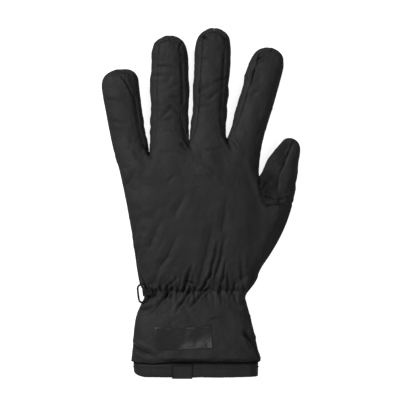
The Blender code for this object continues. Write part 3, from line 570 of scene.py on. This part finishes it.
def crinkle_share(places, hem):
    """How much the cloth crinkles: in patches, least mid-hand and under the transfer."""
    stiff = patch_mask(places) if hem else 0.0
    share = (1.0 - 0.85 * stiff) * np.clip(0.55 + 0.9 * wave(places, *PATCHY_NOISE), 0.15, 1.0)
    share *= 1.0 - 0.45 * oval_spot(places[:, 0], places[:, 1], *CALM_SPOT)
    share *= np.where(places[:, 1] < WAIST_Y - 0.004, 1.35, 1.0)
    return share


def seam_distances(node, places, rims):
    """Distances to the rims, then the nearest spots on the seams and the distances to them."""
    other = beside(node)
    seams = [(start, end) for start, end in rims
             if other.find_nearest(0.5 * (start + end), SEAM_GAP)[0] is not None]
    rim_points = rim_tree(rims)
    distance = np.array([rim_points.find(place)[2] for place in places])
    seam_points = rim_tree(seams)
    nearest = [seam_points.find(place) for place in places]
    return distance, [found[0] for found in nearest], np.array([found[2] for found in nearest])


def gather_cloth(places, free, height, crease):
    """Add the fine gathers at the elastic and the roll at the hem to the height, and painted
    shade along the elastic to the crease value.
    """
    from_elastic = (places[:, 1] - ELASTIC_Y) / MM
    reach = np.where(from_elastic > 0.0, GATHER_ABOVE, GATHER_BELOW)
    # Squeezed along the glove, so that the gathers run up and down it
    squeezed = np.column_stack((places[:, 0], 0.14 * places[:, 1], 0.6 * places[:, 2]))
    ripple = np.abs(wave(squeezed, *RIPPLE_NOISE))
    ripple += 0.4 * np.abs(wave(squeezed, *FINE_RIPPLE_NOISE))
    gather = bpy.context.scene.glove_cloth.gather
    height += gather * (1.8 * ripple - 0.6) * bell(from_elastic, reach) * free
    height -= ELASTIC_DIP * bell(from_elastic, 1.5) * free
    # Painted shade in broken dashes along the dip at the elastic
    broken = np.clip(0.4 + 1.6 * wave(squeezed, *RIPPLE_SHADE_NOISE), 0.0, 1.0)
    crease = np.maximum(crease, 0.5 * broken * bell(from_elastic, 0.9))
    up = (places[:, 1] - SHELL_HEM_Y) / MM
    roll = bell(up - ROLL_UP, ROLL_WIDTH)
    height += (ROLL_HEIGHT + ROLL_CHANGE * wave(places, *HEM_ROLL_NOISE)) * roll * free
    return height, crease


def hang_hem(places, normals, up):
    """Let the padded hem hang past its seam and flare; give the painted shade on its underside
    and the painted shadow along its lower edge.
    """
    out = places[:, (0, 2)] - np.array(CUFF_MIDDLE)
    out /= np.linalg.norm(out, axis=1)[:, None]
    outward = np.clip(1.5 * (normals[:, 0] * out[:, 0] + normals[:, 2] * out[:, 1]), 0.0, 1.0)
    table = np.array(HEM_OVERHANG)
    hang = np.interp(places[:, 0] / MM, table[:, 0], table[:, 1]) * MM
    lip = outward * bell(up, 3.0)
    places[:, 1] -= hang * lip
    places[:, 0] += HEM_FLARE * out[:, 0] * lip
    places[:, 2] += HEM_FLARE * out[:, 1] * lip
    # Painted shade on faces turned down, and a painted shadow in a wavy band along the hem's edge
    underside = np.clip(-1.6 * normals[:, 1], 0.0, 1.0)
    shadow = 1.0 / (1.0 + np.exp((up - 0.5 - 0.8 * wave(places, *HEM_SHADE_NOISE)) / 0.3))
    return np.where(up < 4.0, np.maximum(underside, shadow), 0.0)


def swell_cloth(piece, node, rims, hem=False, low_z=None, puff_share=1.0):
    """Puff a panel between its seams, then add its waves, puckers, gathers and folds.

    Shade painted into its folds, seams and hem is kept as the vertex value crease.
    """
    cloth = bpy.context.scene.glove_cloth
    places, normals = vertex_arrays(piece.data)
    normals = along_skin(node, places, normals)
    x = places[:, 0] / MM
    y = places[:, 1] / MM
    up = (places[:, 1] - SHELL_HEM_Y) / MM
    distance, seam_spots, seam_distance = seam_distances(node, places, rims)
    free = 1.0 - bell(distance, FREE_REACH)

    height = puff_share * cloth.puff * (1.0 - np.exp(-distance / cloth.puff_run))
    height += cloth.pucker * wave(seam_spots, *PUCKER_NOISE) * np.exp(-seam_distance / PUCKER_REACH)
    slack = cloth.slack * wave(places, *SLACK_NOISE)
    height += slack + FINE_SHARE * cloth.slack * wave(places, *FINE_SLACK_NOISE)
    billow = np.abs(wave(places, *BILLOW_NOISE))
    billow += FINE_SHARE * np.abs(wave(places, *FINE_BILLOW_NOISE))
    height += cloth.crinkle * (billow - 0.35) * crinkle_share(places, hem)
    height *= free
    groove = cloth.seam_depth * (0.75 + 0.5 * wave(seam_spots, *SEAM_NOISE))
    groove *= np.clip(1.4 * np.abs(normals[:, 2]), 0.2, 1.0)
    flat = 1.0 - 0.8 * (bell(x - EDGE_X, EDGE_WIDTH) * (places[:, 1] > EDGE_LOW_Y))
    height -= groove * flat * bell(seam_distance, SEAM_REACH)

    facing = np.clip(normals[:, 2] * 2.0, 0.0, 1.0)
    fold_rise, fold_shade = fold_shape(x + 1.1 * wave(places, *WANDER_X_NOISE),
                                       y + 1.1 * wave(places, *WANDER_Y_NOISE))
    height += cloth.fold_strength * fold_rise * MM * facing
    slope = ramp(x, 37.0, 6.0) * np.maximum(0.0, x - SLOPE_X)
    height -= SLOPE * MM * slope * facing * free * bell(y - SLOPE_Y, SLOPE_REACH, 4)
    # Painted shade: darker colour and duller shine along the seams and in the folds
    crease = 0.55 * bell(seam_distance, SEAM_LINE)
    crease *= np.clip(0.7 + 0.9 * wave(seam_spots, *SEAM_SHADE_NOISE), 0.0, 1.0)
    crease = np.maximum(crease * flat, fold_shade * facing)
    if hem:
        height, crease = gather_cloth(places, free, height, crease)
    height += cloth.side_fill * (1.0 - np.abs(normals[:, 2])) * side_fill_share(places)
    places += normals * height[:, None]
    if hem:
        crease = np.maximum(crease, hang_hem(places, normals, up))
    move_vertices(piece.data, places, low_z)
    paint(piece, "crease", crease)


def new_material(name, colour, roughness):
    material = bpy.data.materials.new(name)
    material.use_nodes = True
    tree = material.node_tree
    shader = tree.nodes["Principled BSDF"]
    set_inputs(shader, Base_Color=(*colour, 1.0), Roughness=roughness, Metallic=0.0)
    return material, tree, shader


def set_inputs(node, **values):
    """Set a node's inputs by name, with an underscore for each space."""
    for name, value in values.items():
        node.inputs[name.replace("_", " ")].default_value = value


def add_node(tree, kind, **settings):
    node = tree.nodes.new(kind)
    for name, value in settings.items():
        setattr(node, name, value)
    return node


def noise_texture(tree, coordinates, scale, detail=2.0, distortion=0.0, roughness=0.5):
    """Grey value of a noise."""
    texture = add_node(tree, "ShaderNodeTexNoise")
    set_inputs(texture, Scale=scale, Detail=detail, Distortion=distortion, Roughness=roughness)
    tree.links.new(coordinates, texture.inputs["Vector"])
    return texture.outputs["Fac"]


def shape_normals(tree, shader, *layers):
    """Bumps on top of one another, each given as its height, strength and distance."""
    normal = None
    for height, strength, distance in layers:
        node = add_node(tree, "ShaderNodeBump")
        set_inputs(node, Strength=strength, Distance=distance)
        tree.links.new(height, node.inputs["Height"])
        if normal is not None:
            tree.links.new(normal, node.inputs["Normal"])
        normal = node.outputs["Normal"]
    tree.links.new(normal, shader.inputs["Normal"])


def bands(tree, coordinates, direction, scale, distortion=0.0, detail=2.0):
    """Grey value of straight bands."""
    texture = add_node(tree, "ShaderNodeTexWave", bands_direction=direction, wave_type="BANDS")
    set_inputs(texture, Scale=scale, Detail=detail, Distortion=distortion)
    tree.links.new(coordinates, texture.inputs["Vector"])
    return texture.outputs["Fac"]


def thread_height(tree, coordinates, scale):
    """Height of a plain weave whose threads run along X and Y."""
    both = add_node(tree, "ShaderNodeMath", operation="MULTIPLY")
    for number, direction in enumerate("XY"):
        threads = bands(tree, coordinates, direction, scale, distortion=0.6, detail=1.0)
        tree.links.new(threads, both.inputs[number])
    return both.outputs["Value"]


def mottled_material(name, colour, roughness, scale, low, high, sheen=(0.0, 0.5)):
    """A material whose colour varies in soft spots; sheen is its weight and roughness."""
    material, tree, shader = new_material(name, colour, roughness)
    set_inputs(shader, Sheen_Weight=sheen[0], Sheen_Roughness=sheen[1])
    where = add_node(tree, "ShaderNodeTexCoord").outputs["Object"]
    tones = add_node(tree, "ShaderNodeValToRGB")
    for element, place, strength in zip(tones.color_ramp.elements, (0.35, 0.68), (low, high)):
        element.position = place
        element.color = (*[strength * part for part in colour], 1.0)
    tree.links.new(noise_texture(tree, where, scale, detail=4.0), tones.inputs["Fac"])
    tree.links.new(tones.outputs["Color"], shader.inputs["Base Color"])
    return material, tree, shader, where


def attribute(tree, name):
    return add_node(tree, "ShaderNodeAttribute", attribute_name=name).outputs["Fac"]


def blend_colour(tree, shader, amount, colour):
    """Mix another colour into the base colour by an amount."""
    base = shader.inputs["Base Color"].links[0].from_socket
    blend = add_node(tree, "ShaderNodeMix", data_type="RGBA")
    tree.links.new(amount, blend.inputs[0])
    tree.links.new(base, blend.inputs[6])
    blend.inputs[7].default_value = (*colour, 1.0)
    tree.links.new(blend.outputs[2], shader.inputs["Base Color"])


def paint_crease_shade(tree, shader):
    """Painted shade: darken the colour and dull the shine by the vertex value crease."""
    crease = attribute(tree, "crease")
    # The colour of the painted shade
    blend_colour(tree, shader, crease, (0.0070, 0.0070, 0.0074))
    sheen = shader.inputs["Sheen Weight"].default_value
    for name, smooth, pinched in (("Specular IOR Level", 0.35, 0.12), ("Sheen Weight", sheen, 0.0)):
        level = add_node(tree, "ShaderNodeMapRange")
        set_inputs(level, To_Min=smooth, To_Max=pinched)
        tree.links.new(crease, level.inputs["Value"])
        tree.links.new(level.outputs["Result"], shader.inputs[name])


def shell_cloth():
    """Smooth, tightly woven shell cloth with fine crinkles."""
    if "crinkled_shell" in bpy.data.materials:
        return bpy.data.materials["crinkled_shell"]
    colour = bpy.context.scene.glove_colours.shell
    material, tree, shader, where = mottled_material(
        "crinkled_shell", colour, 0.70, scale=60.0, low=0.90, high=1.12, sheen=(0.10, 0.45))
    paint_crease_shade(tree, shader)
    crinkle = noise_texture(tree, where, 150.0, 3.0, 1.2)
    fine = noise_texture(tree, where, 520.0, 2.0, 0.6)
    weave = thread_height(tree, where, 900.0)
    shape_normals(tree, shader,
                  (crinkle, 0.14, 0.0010), (fine, 0.12, 0.0004), (weave, 0.12, 0.0001))
    return material


def thumb_cloth():
    """Rougher napped cloth."""
    colour = bpy.context.scene.glove_colours.thumb
    material, tree, shader, where = mottled_material(
        "thumb_cloth", colour, 0.9, scale=110.0, low=0.35, high=1.7, sheen=(0.08, 0.6))
    # Paler nap, and a painted highlight on the ridge near the tip
    worn = [6.0 * part for part in colour]
    blend_colour(tree, shader, attribute(tree, "worn"), worn)
    paint_crease_shade(tree, shader)
    nap = noise_texture(tree, where, 900.0, 4.0, 0.3, 0.7)
    creases = noise_texture(tree, where, 220.0, 3.0, 1.4)
    shape_normals(tree, shader, (nap, 0.5, 0.0004), (creases, 0.4, 0.0008))
    return material


def fleece_pile():
    """Short brushed pile in small tufts."""
    colour = bpy.context.scene.glove_colours.fleece
    material, tree, shader, where = mottled_material(
        "fleece_pile", colour, 0.95, scale=420.0, low=0.55, high=1.7, sheen=(0.6, 0.5))
    tufts = noise_texture(tree, where, 480.0, 5.0, 0.8, 0.7)
    shape_normals(tree, shader, (tufts, 0.8, 0.0010))
    return material


def band_tape():
    """Woven binding with ribs that run round the hem."""
    colour = bpy.context.scene.glove_colours.band
    material, tree, shader, where = mottled_material(
        "band_tape", colour, 0.60, scale=140.0, low=0.85, high=1.2, sheen=(0.15, 0.5))
    paint_crease_shade(tree, shader)
    ribs = bands(tree, where, "Y", 420.0, distortion=0.4)
    soft = noise_texture(tree, where, 260.0, 3.0, 0.8)
    shape_normals(tree, shader, (ribs, 0.35, 0.00015), (soft, 0.35, 0.0005))
    return material


def gloss_transfer():
    """Thin glossy film pressed on the cloth, left bare."""
    colour = bpy.context.scene.glove_colours.trim
    material, tree, shader, where = mottled_material(
        "gloss_transfer", colour, 0.34, scale=90.0, low=0.9, high=1.15)
    set_inputs(shader, Coat_Weight=0.25, Coat_Roughness=0.30)
    press = noise_texture(tree, where, 700.0, 2.0, 0.2)
    shape_normals(tree, shader, (press, 0.15, 0.0001))
    return material


def satin_label():
    """Satin tape, left bare."""
    colour = bpy.context.scene.glove_colours.trim
    material, tree, shader, where = mottled_material(
        "satin_label", colour, 0.42, scale=200.0, low=0.9, high=1.2)
    paint_crease_shade(tree, shader)
    shape_normals(tree, shader, (bands(tree, where, "X", 700.0), 0.3, 0.0001))
    return material


def sewing_thread():
    """Twisted black thread."""
    if "black_stitches" in bpy.data.materials:
        return bpy.data.materials["black_stitches"]
    material, tree, shader, where = mottled_material(
        "black_stitches", (0.011, 0.011, 0.012), 0.55, scale=800.0, low=0.8, high=1.3)
    shape_normals(tree, shader, (bands(tree, where, "DIAGONAL", 1500.0), 0.4, 0.0001))
    return material


def moulded_plastic():
    """Moulded plastic with a soft gloss."""
    colour = bpy.context.scene.glove_colours.trim
    material, tree, shader, where = mottled_material(
        "moulded_plastic", colour, 0.36, scale=300.0, low=0.85, high=1.2)
    shape_normals(tree, shader, (noise_texture(tree, where, 1400.0), 0.12, 0.0001))
    return material


def narrow_webbing():
    """Narrow woven webbing."""
    colour = bpy.context.scene.glove_colours.band
    material, tree, shader, where = mottled_material(
        "narrow_webbing", colour, 0.78, scale=260.0, low=0.8, high=1.25)
    paint_crease_shade(tree, shader)
    shape_normals(tree, shader, (thread_height(tree, where, 520.0), 0.5, 0.0002))
    return material


def sew(name, spots, length, thick):
    """Separate stitches, each at a spot given as its centre, direction and surface normal."""
    bpy.ops.object.select_all(action="DESELECT")
    bpy.ops.mesh.primitive_uv_sphere_add(segments=8, ring_count=6, radius=0.5)
    stitch = bpy.context.object
    form = [vertex.co.copy() for vertex in stitch.data.vertices]
    facets = [tuple(polygon.vertices) for polygon in stitch.data.polygons]
    bpy.data.objects.remove(stitch, do_unlink=True)
    points = []
    faces = []
    for centre, forward, normal in spots:
        side = normal.cross(forward).normalized()
        base = len(points)
        for corner in form:
            arch = 0.35 * thick * (1.0 - (2.0 * corner.x) ** 2)
            points.append(centre + forward * (corner.x * length) + side * (corner.y * thick)
                          + normal * (corner.z * 0.8 * thick + arch))
        faces += [tuple(base + corner for corner in facet) for facet in facets]
    mesh = bpy.data.meshes.new(name)
    mesh.from_pydata(points, [], faces)
    piece = add_object(name, mesh)
    smooth_piece(piece, 80.0)
    return piece


def spots_round(tree, y, middle_z, pitch):
    """Spots for stitches round the glove at one Y, where rays towards its middle meet it."""
    middle = Vector((0.0, y, middle_z))
    hits = []
    for step in range(RAYS_ROUND):
        angle = 2.0 * math.pi * step / RAYS_ROUND
        out = Vector((math.cos(angle), 0.0, math.sin(angle)))
        place, normal, _, _ = tree.ray_cast(middle + out * 0.2, -out)
        if place is not None:
            hits.append((place, normal))
    spots = []
    travelled = 0.0
    due = 0.0
    for (here, normal), (there, _) in zip(hits, hits[1:] + hits[:1]):
        travelled += (there - here).length
        if travelled >= due:
            due += pitch
            spots.append((here, (there - here).normalized(), normal))
    return spots


def spots_along(tree, start, end, pitch):
    """Spots for stitches on the upper side along a straight line seen from above."""
    count = int((end - start).length / pitch)
    spots = []
    for step in range(count + 1):
        place = start.lerp(end, step / count)
        hit, normal, _, _ = tree.ray_cast(Vector((place.x, place.y, 1.0)), DOWN)
        spots.append((hit, (end - start).normalized(), normal))
    return spots


def shade_thumb(piece):
    """Mark where the thumb's napped cloth is paler, where a highlight is painted near its tip,
    and the painted shade in the web.
    """
    places, _ = vertex_arrays(piece.data)
    tone = np.zeros(len(places))
    for *oval, amount in THUMB_TONES:
        tone += amount * oval_spot(places[:, 0] / MM, places[:, 1] / MM, *oval)
    tone *= np.clip(0.8 + 0.7 * wave(places, *NAP_NOISE), 0.2, 1.3)
    paint(piece, "worn", np.clip(tone, 0.0, 1.0))
    # Painted shade in the web from the negative tones, added to the crease value
    layer = piece.data.attributes["crease"]
    crease = np.empty(len(places), np.float32)
    layer.data.foreach_get("value", crease)
    crease = np.maximum(crease, np.clip(-tone, 0.0, 0.85)).astype(np.float32)
    layer.data.foreach_set("value", crease)


class GLOVE_OT_shell(bpy.types.Operator):
    """Back and palm panels of the shell"""
    bl_idname = "glove.shell"
    bl_label = "Shell"

    def execute(self, context):
        for node, name, fine_levels, low_z, puff_share in (
                (BACK, "glove_back", 2, None, 1.0), (PALM, "glove_palm", 1, 0.0, 0.6)):
            panel, rims = cloth_copy(node, name)
            subdivide(panel, 1)
            settle_cloth(panel, rims, hem=True, low_z=low_z)
            subdivide(panel, fine_levels)
            swell_cloth(panel, node, rims, hem=True, low_z=low_z, puff_share=puff_share)
            close_seams(panel, node)
            smooth_piece(panel)
            seat(panel, "shell_cloth", shell_cloth(), node)
        return {"FINISHED"}


class GLOVE_OT_fourchettes(bpy.types.Operator):
    """Strips between the fingers"""
    bl_idname = "glove.fourchettes"
    bl_label = "Fourchettes"

    def execute(self, context):
        for node in FOURCHETTES:
            strip, rims = cloth_copy(node, node.replace("fourchette", "finger_strip"))
            subdivide(strip, 3)
            swell_cloth(strip, node, rims, puff_share=0.5)
            close_seams(strip, node)
            smooth_piece(strip)
            seat(strip, "shell_cloth", shell_cloth(), node)
        return {"FINISHED"}


class GLOVE_OT_thumb(bpy.types.Operator):
    """Both halves of the thumb"""
    bl_idname = "glove.thumb"
    bl_label = "Thumb"

    def execute(self, context):
        inner, outer = THUMB_HALVES
        for node, slot, material in ((inner, "thumb_cloth", thumb_cloth()),
                                     (outer, "shell_cloth", shell_cloth())):
            half, rims = cloth_copy(node, node + "_half")
            subdivide(half, 3)
            swell_cloth(half, node, rims, puff_share=0.4, low_z=0.0)
            close_seams(half, node, 1.0 * MM)
            smooth_piece(half)
            if node == inner:
                shade_thumb(half)
            seat(half, slot, material, node)
        return {"FINISHED"}


class GLOVE_OT_hem(bpy.types.Operator):
    """Hem band with its row of stitches"""
    bl_idname = "glove.hem"
    bl_label = "Hem band"

    def execute(self, context):
        band, rims = cloth_copy("hem_band", "hem_binding", 60.0)
        subdivide(band, 2)
        places = roughen(*vertex_arrays(band.data), BAND_WAVES)
        low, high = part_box("hem_band")
        corner = np.clip((CORNER_X - places[:, 0]) / CORNER_WIDTH, 0.0, 1.0)
        below = np.clip((high.y - places[:, 1]) / (high.y - low.y), 0.0, 1.0)
        places[:, 1] += CORNER_RISE * (1.0 - np.sqrt(1.0 - corner ** 2)) * below
        move_vertices(band.data, places, 0.0)
        # Painted shadow of the shell's hem along the top of the band
        lip_shadow = bell(high.y - places[:, 1], 1.0 * MM)
        shade = np.clip(0.75 + 0.6 * wave(places, *BAND_SHADE_NOISE), 0.2, 1.0)
        paint(band, "crease", lip_shadow * shade)
        smooth_piece(band, 50.0)
        seat(band, "binding", band_tape(), "hem_band")
        middle = 0.5 * (low.z + high.z)
        spots = spots_round(surface_tree(band), high.y - STITCH_DROP, middle, pitch=0.0032)
        stitches = sew("hem_stitches", spots, length=0.0023, thick=0.0007)
        seat(stitches, "binding", sewing_thread())
        return {"FINISHED"}


class GLOVE_OT_lining(bpy.types.Operator):
    """Fleece inside the cuff and waist"""
    bl_idname = "glove.lining"
    bl_label = "Lining"

    def execute(self, context):
        lining, _ = cloth_copy("fleece_lining", "fleece_tube", 60.0)
        subdivide(lining, 3)
        move_vertices(lining.data, roughen(*vertex_arrays(lining.data), PILE_WAVES))
        smooth_piece(lining, 70.0)
        seat(lining, "fleece", fleece_pile(), "fleece_lining")
        return {"FINISHED"}


class GLOVE_OT_trim(bpy.types.Operator):
    """Bare transfer patch and hem label"""
    bl_idname = "glove.trim"
    bl_label = "Patch and label"

    def execute(self, context):
        low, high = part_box("transfer_patch")
        centre = 0.5 * (low + high)
        turn = math.radians(PATCH_TURN)
        bpy.ops.object.select_all(action="DESELECT")
        bpy.ops.mesh.primitive_grid_add(x_subdivisions=86, y_subdivisions=34, size=1.0)
        patch = bpy.context.object
        patch.name = "cuff_transfer"
        ground = surface_tree(bpy.data.objects["glove_back"])
        place = Matrix.Translation((centre.x, centre.y, 0.0)) @ Matrix.Rotation(turn, 4, "Z")
        for vertex in patch.data.vertices:
            under = place @ Vector((vertex.co.x * PATCH_LENGTH, vertex.co.y * PATCH_HEIGHT, 0.0))
            hit, _, _, _ = ground.ray_cast(Vector((under.x, under.y, 1.0)), DOWN)
            edge = max((abs(vertex.co.x) - 0.5) * PATCH_LENGTH,
                       (abs(vertex.co.y) - 0.5) * PATCH_HEIGHT)
            rim = 0.12 * MM * math.exp(-((-edge - 0.9 * MM) / (0.45 * MM)) ** 2)
            vertex.co = Vector((under.x, under.y, hit.z + 0.10 * MM + rim))
        apply_modifier(patch, "SOLIDIFY", thickness=0.35 * MM, offset=1.0)
        smooth_piece(patch, 50.0)
        seat(patch, "gloss_transfer", gloss_transfer(), "transfer_patch")

        label, _ = cloth_copy("hem_label", "hem_tape", 35.0)
        apply_modifier(label, "BEVEL", width=0.08 * MM, segments=2, limit_method="ANGLE")
        subdivide(label, 2, subdivision_type="SIMPLE")
        smooth_piece(label, 40.0)
        low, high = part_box("hem_label")
        places, _ = vertex_arrays(label.data)
        # Painted shade along the label's sides and its top edge
        to_side = np.minimum(places[:, 0] - low.x, high.x - places[:, 0])
        to_top = high.y - places[:, 1]
        shade = np.maximum(0.8 * bell(to_side, 0.5 * MM), 0.8 * bell(to_top, 1.2 * MM))
        paint(label, "crease", shade)
        tree = surface_tree(label)
        spots = []
        for x in (low.x + 0.8 * MM, high.x - 0.8 * MM):
            spots += spots_along(tree, Vector((x, high.y - 0.8 * MM, 0.0)),
                                 Vector((x, low.y + 1.6 * MM, 0.0)), pitch=0.0021)
        seat(label, "woven_label", satin_label(), "hem_label")
        stitches = sew("label_stitches", spots, length=0.0014, thick=0.0005)
        seat(stitches, "woven_label", sewing_thread())
        return {"FINISHED"}


class GLOVE_OT_link(bpy.types.Operator):
    """Plastic link and its webbing tab"""
    bl_idname = "glove.link"
    bl_label = "Link and tab"

    def execute(self, context):
        link, _ = cloth_copy("hook", "plastic_link", 80.0)
        subdivide(link, 2)
        smooth_piece(link, 80.0)
        seat(link, "black_plastic", moulded_plastic(), "hook")
        tab, _ = cloth_copy("hook_tab", "link_tab", 60.0)
        subdivide(tab, 3)
        paint(tab, "crease", np.full(len(tab.data.vertices), 0.35))
        smooth_piece(tab, 60.0)
        seat(tab, "webbing", narrow_webbing(), "hook_tab")
        return {"FINISHED"}


def area_light(name, place, size, power):
    """A round soft light that points at the origin."""
    data = bpy.data.lights.new(name, "AREA")
    data.shape = "DISK"
    data.size = size
    data.energy = power
    lamp = add_object(name, data)
    lamp.location = place
    lamp.rotation_euler = (-Vector(place)).to_track_quat("-Z", "Y").to_euler()


class GLOVE_OT_stage(bpy.types.Operator):
    """Floor, light and camera"""
    bl_idname = "glove.stage"
    bl_label = "Stage"

    def execute(self, context):
        scene = context.scene
        stage = scene.glove_stage
        bpy.ops.object.select_all(action="DESELECT")
        bpy.ops.mesh.primitive_plane_add(size=6.0, location=(0.0, 0.0, -0.0002))
        floor = bpy.context.object
        floor.name = "floor"
        material, _, shader = new_material("pale_floor", (0.90, 0.90, 0.90), 0.9)
        set_inputs(shader, Emission_Color=(1.0, 1.0, 1.0, 1.0), Emission_Strength=0.85)
        floor.data.materials.append(material)
        floor.visible_diffuse = False
        floor.visible_glossy = False

        world = bpy.data.worlds.new("studio")
        scene.world = world
        world.use_nodes = True
        background = world.node_tree.nodes["Background"]
        set_inputs(background, Color=(1.0, 1.0, 1.0, 1.0), Strength=0.16)
        area_light("key", (-1.05, 0.75, 1.0), size=0.55, power=15.8)
        area_light("fill", (0.5, -0.6, 1.7), size=1.2, power=7.0)

        data = bpy.data.cameras.new("camera")
        camera = add_object("camera", data)
        camera.location = (PICTURE_X, PICTURE_Y, stage.camera_height)
        camera.rotation_euler = (0.0, 0.0, 0.0)
        data.sensor_width = SENSOR_WIDTH
        data.lens = SENSOR_WIDTH * (stage.camera_height - HALF_DEPTH) / stage.picture_width
        data.clip_end = 20.0
        scene.camera = camera
        scene.view_settings.view_transform = "Standard"
        return {"FINISHED"}


class GLOVE_PT_panel(bpy.types.Panel):
    """Builds the glove piece by piece"""
    bl_idname = "GLOVE_PT_panel"
    bl_label = "Fleece-Lined Glove"
    bl_space_type = "VIEW_3D"
    bl_region_type = "UI"
    bl_category = "Glove"

    def draw(self, context):
        layout = self.layout
        for operator in PIECE_OPERATORS:
            layout.operator(operator.bl_idname)
        scene = context.scene
        for group in (scene.glove_cloth, scene.glove_colours, scene.glove_stage):
            box = layout.box()
            for name in group.__annotations__:
                box.prop(group, name)


PIECE_OPERATORS = (
    GLOVE_OT_shell, GLOVE_OT_fourchettes, GLOVE_OT_thumb, GLOVE_OT_hem,
    GLOVE_OT_lining, GLOVE_OT_trim, GLOVE_OT_link, GLOVE_OT_stage,
)
CLASSES = (GloveCloth, GloveColours, GloveStage, *PIECE_OPERATORS, GLOVE_PT_panel)


def register():
    for cls in CLASSES:
        bpy.utils.register_class(cls)
    bpy.types.Scene.glove_cloth = bpy.props.PointerProperty(type=GloveCloth)
    bpy.types.Scene.glove_colours = bpy.props.PointerProperty(type=GloveColours)
    bpy.types.Scene.glove_stage = bpy.props.PointerProperty(type=GloveStage)


def unregister():
    del bpy.types.Scene.glove_stage
    del bpy.types.Scene.glove_colours
    del bpy.types.Scene.glove_cloth
    for cls in reversed(CLASSES):
        bpy.utils.unregister_class(cls)


def main():
    register()
    bpy.ops.glove.shell()
    bpy.ops.glove.fourchettes()
    bpy.ops.glove.thumb()
    bpy.ops.glove.hem()
    bpy.ops.glove.lining()
    bpy.ops.glove.trim()
    bpy.ops.glove.link()
    bpy.ops.glove.stage()


if __name__ == "__main__":
    main()
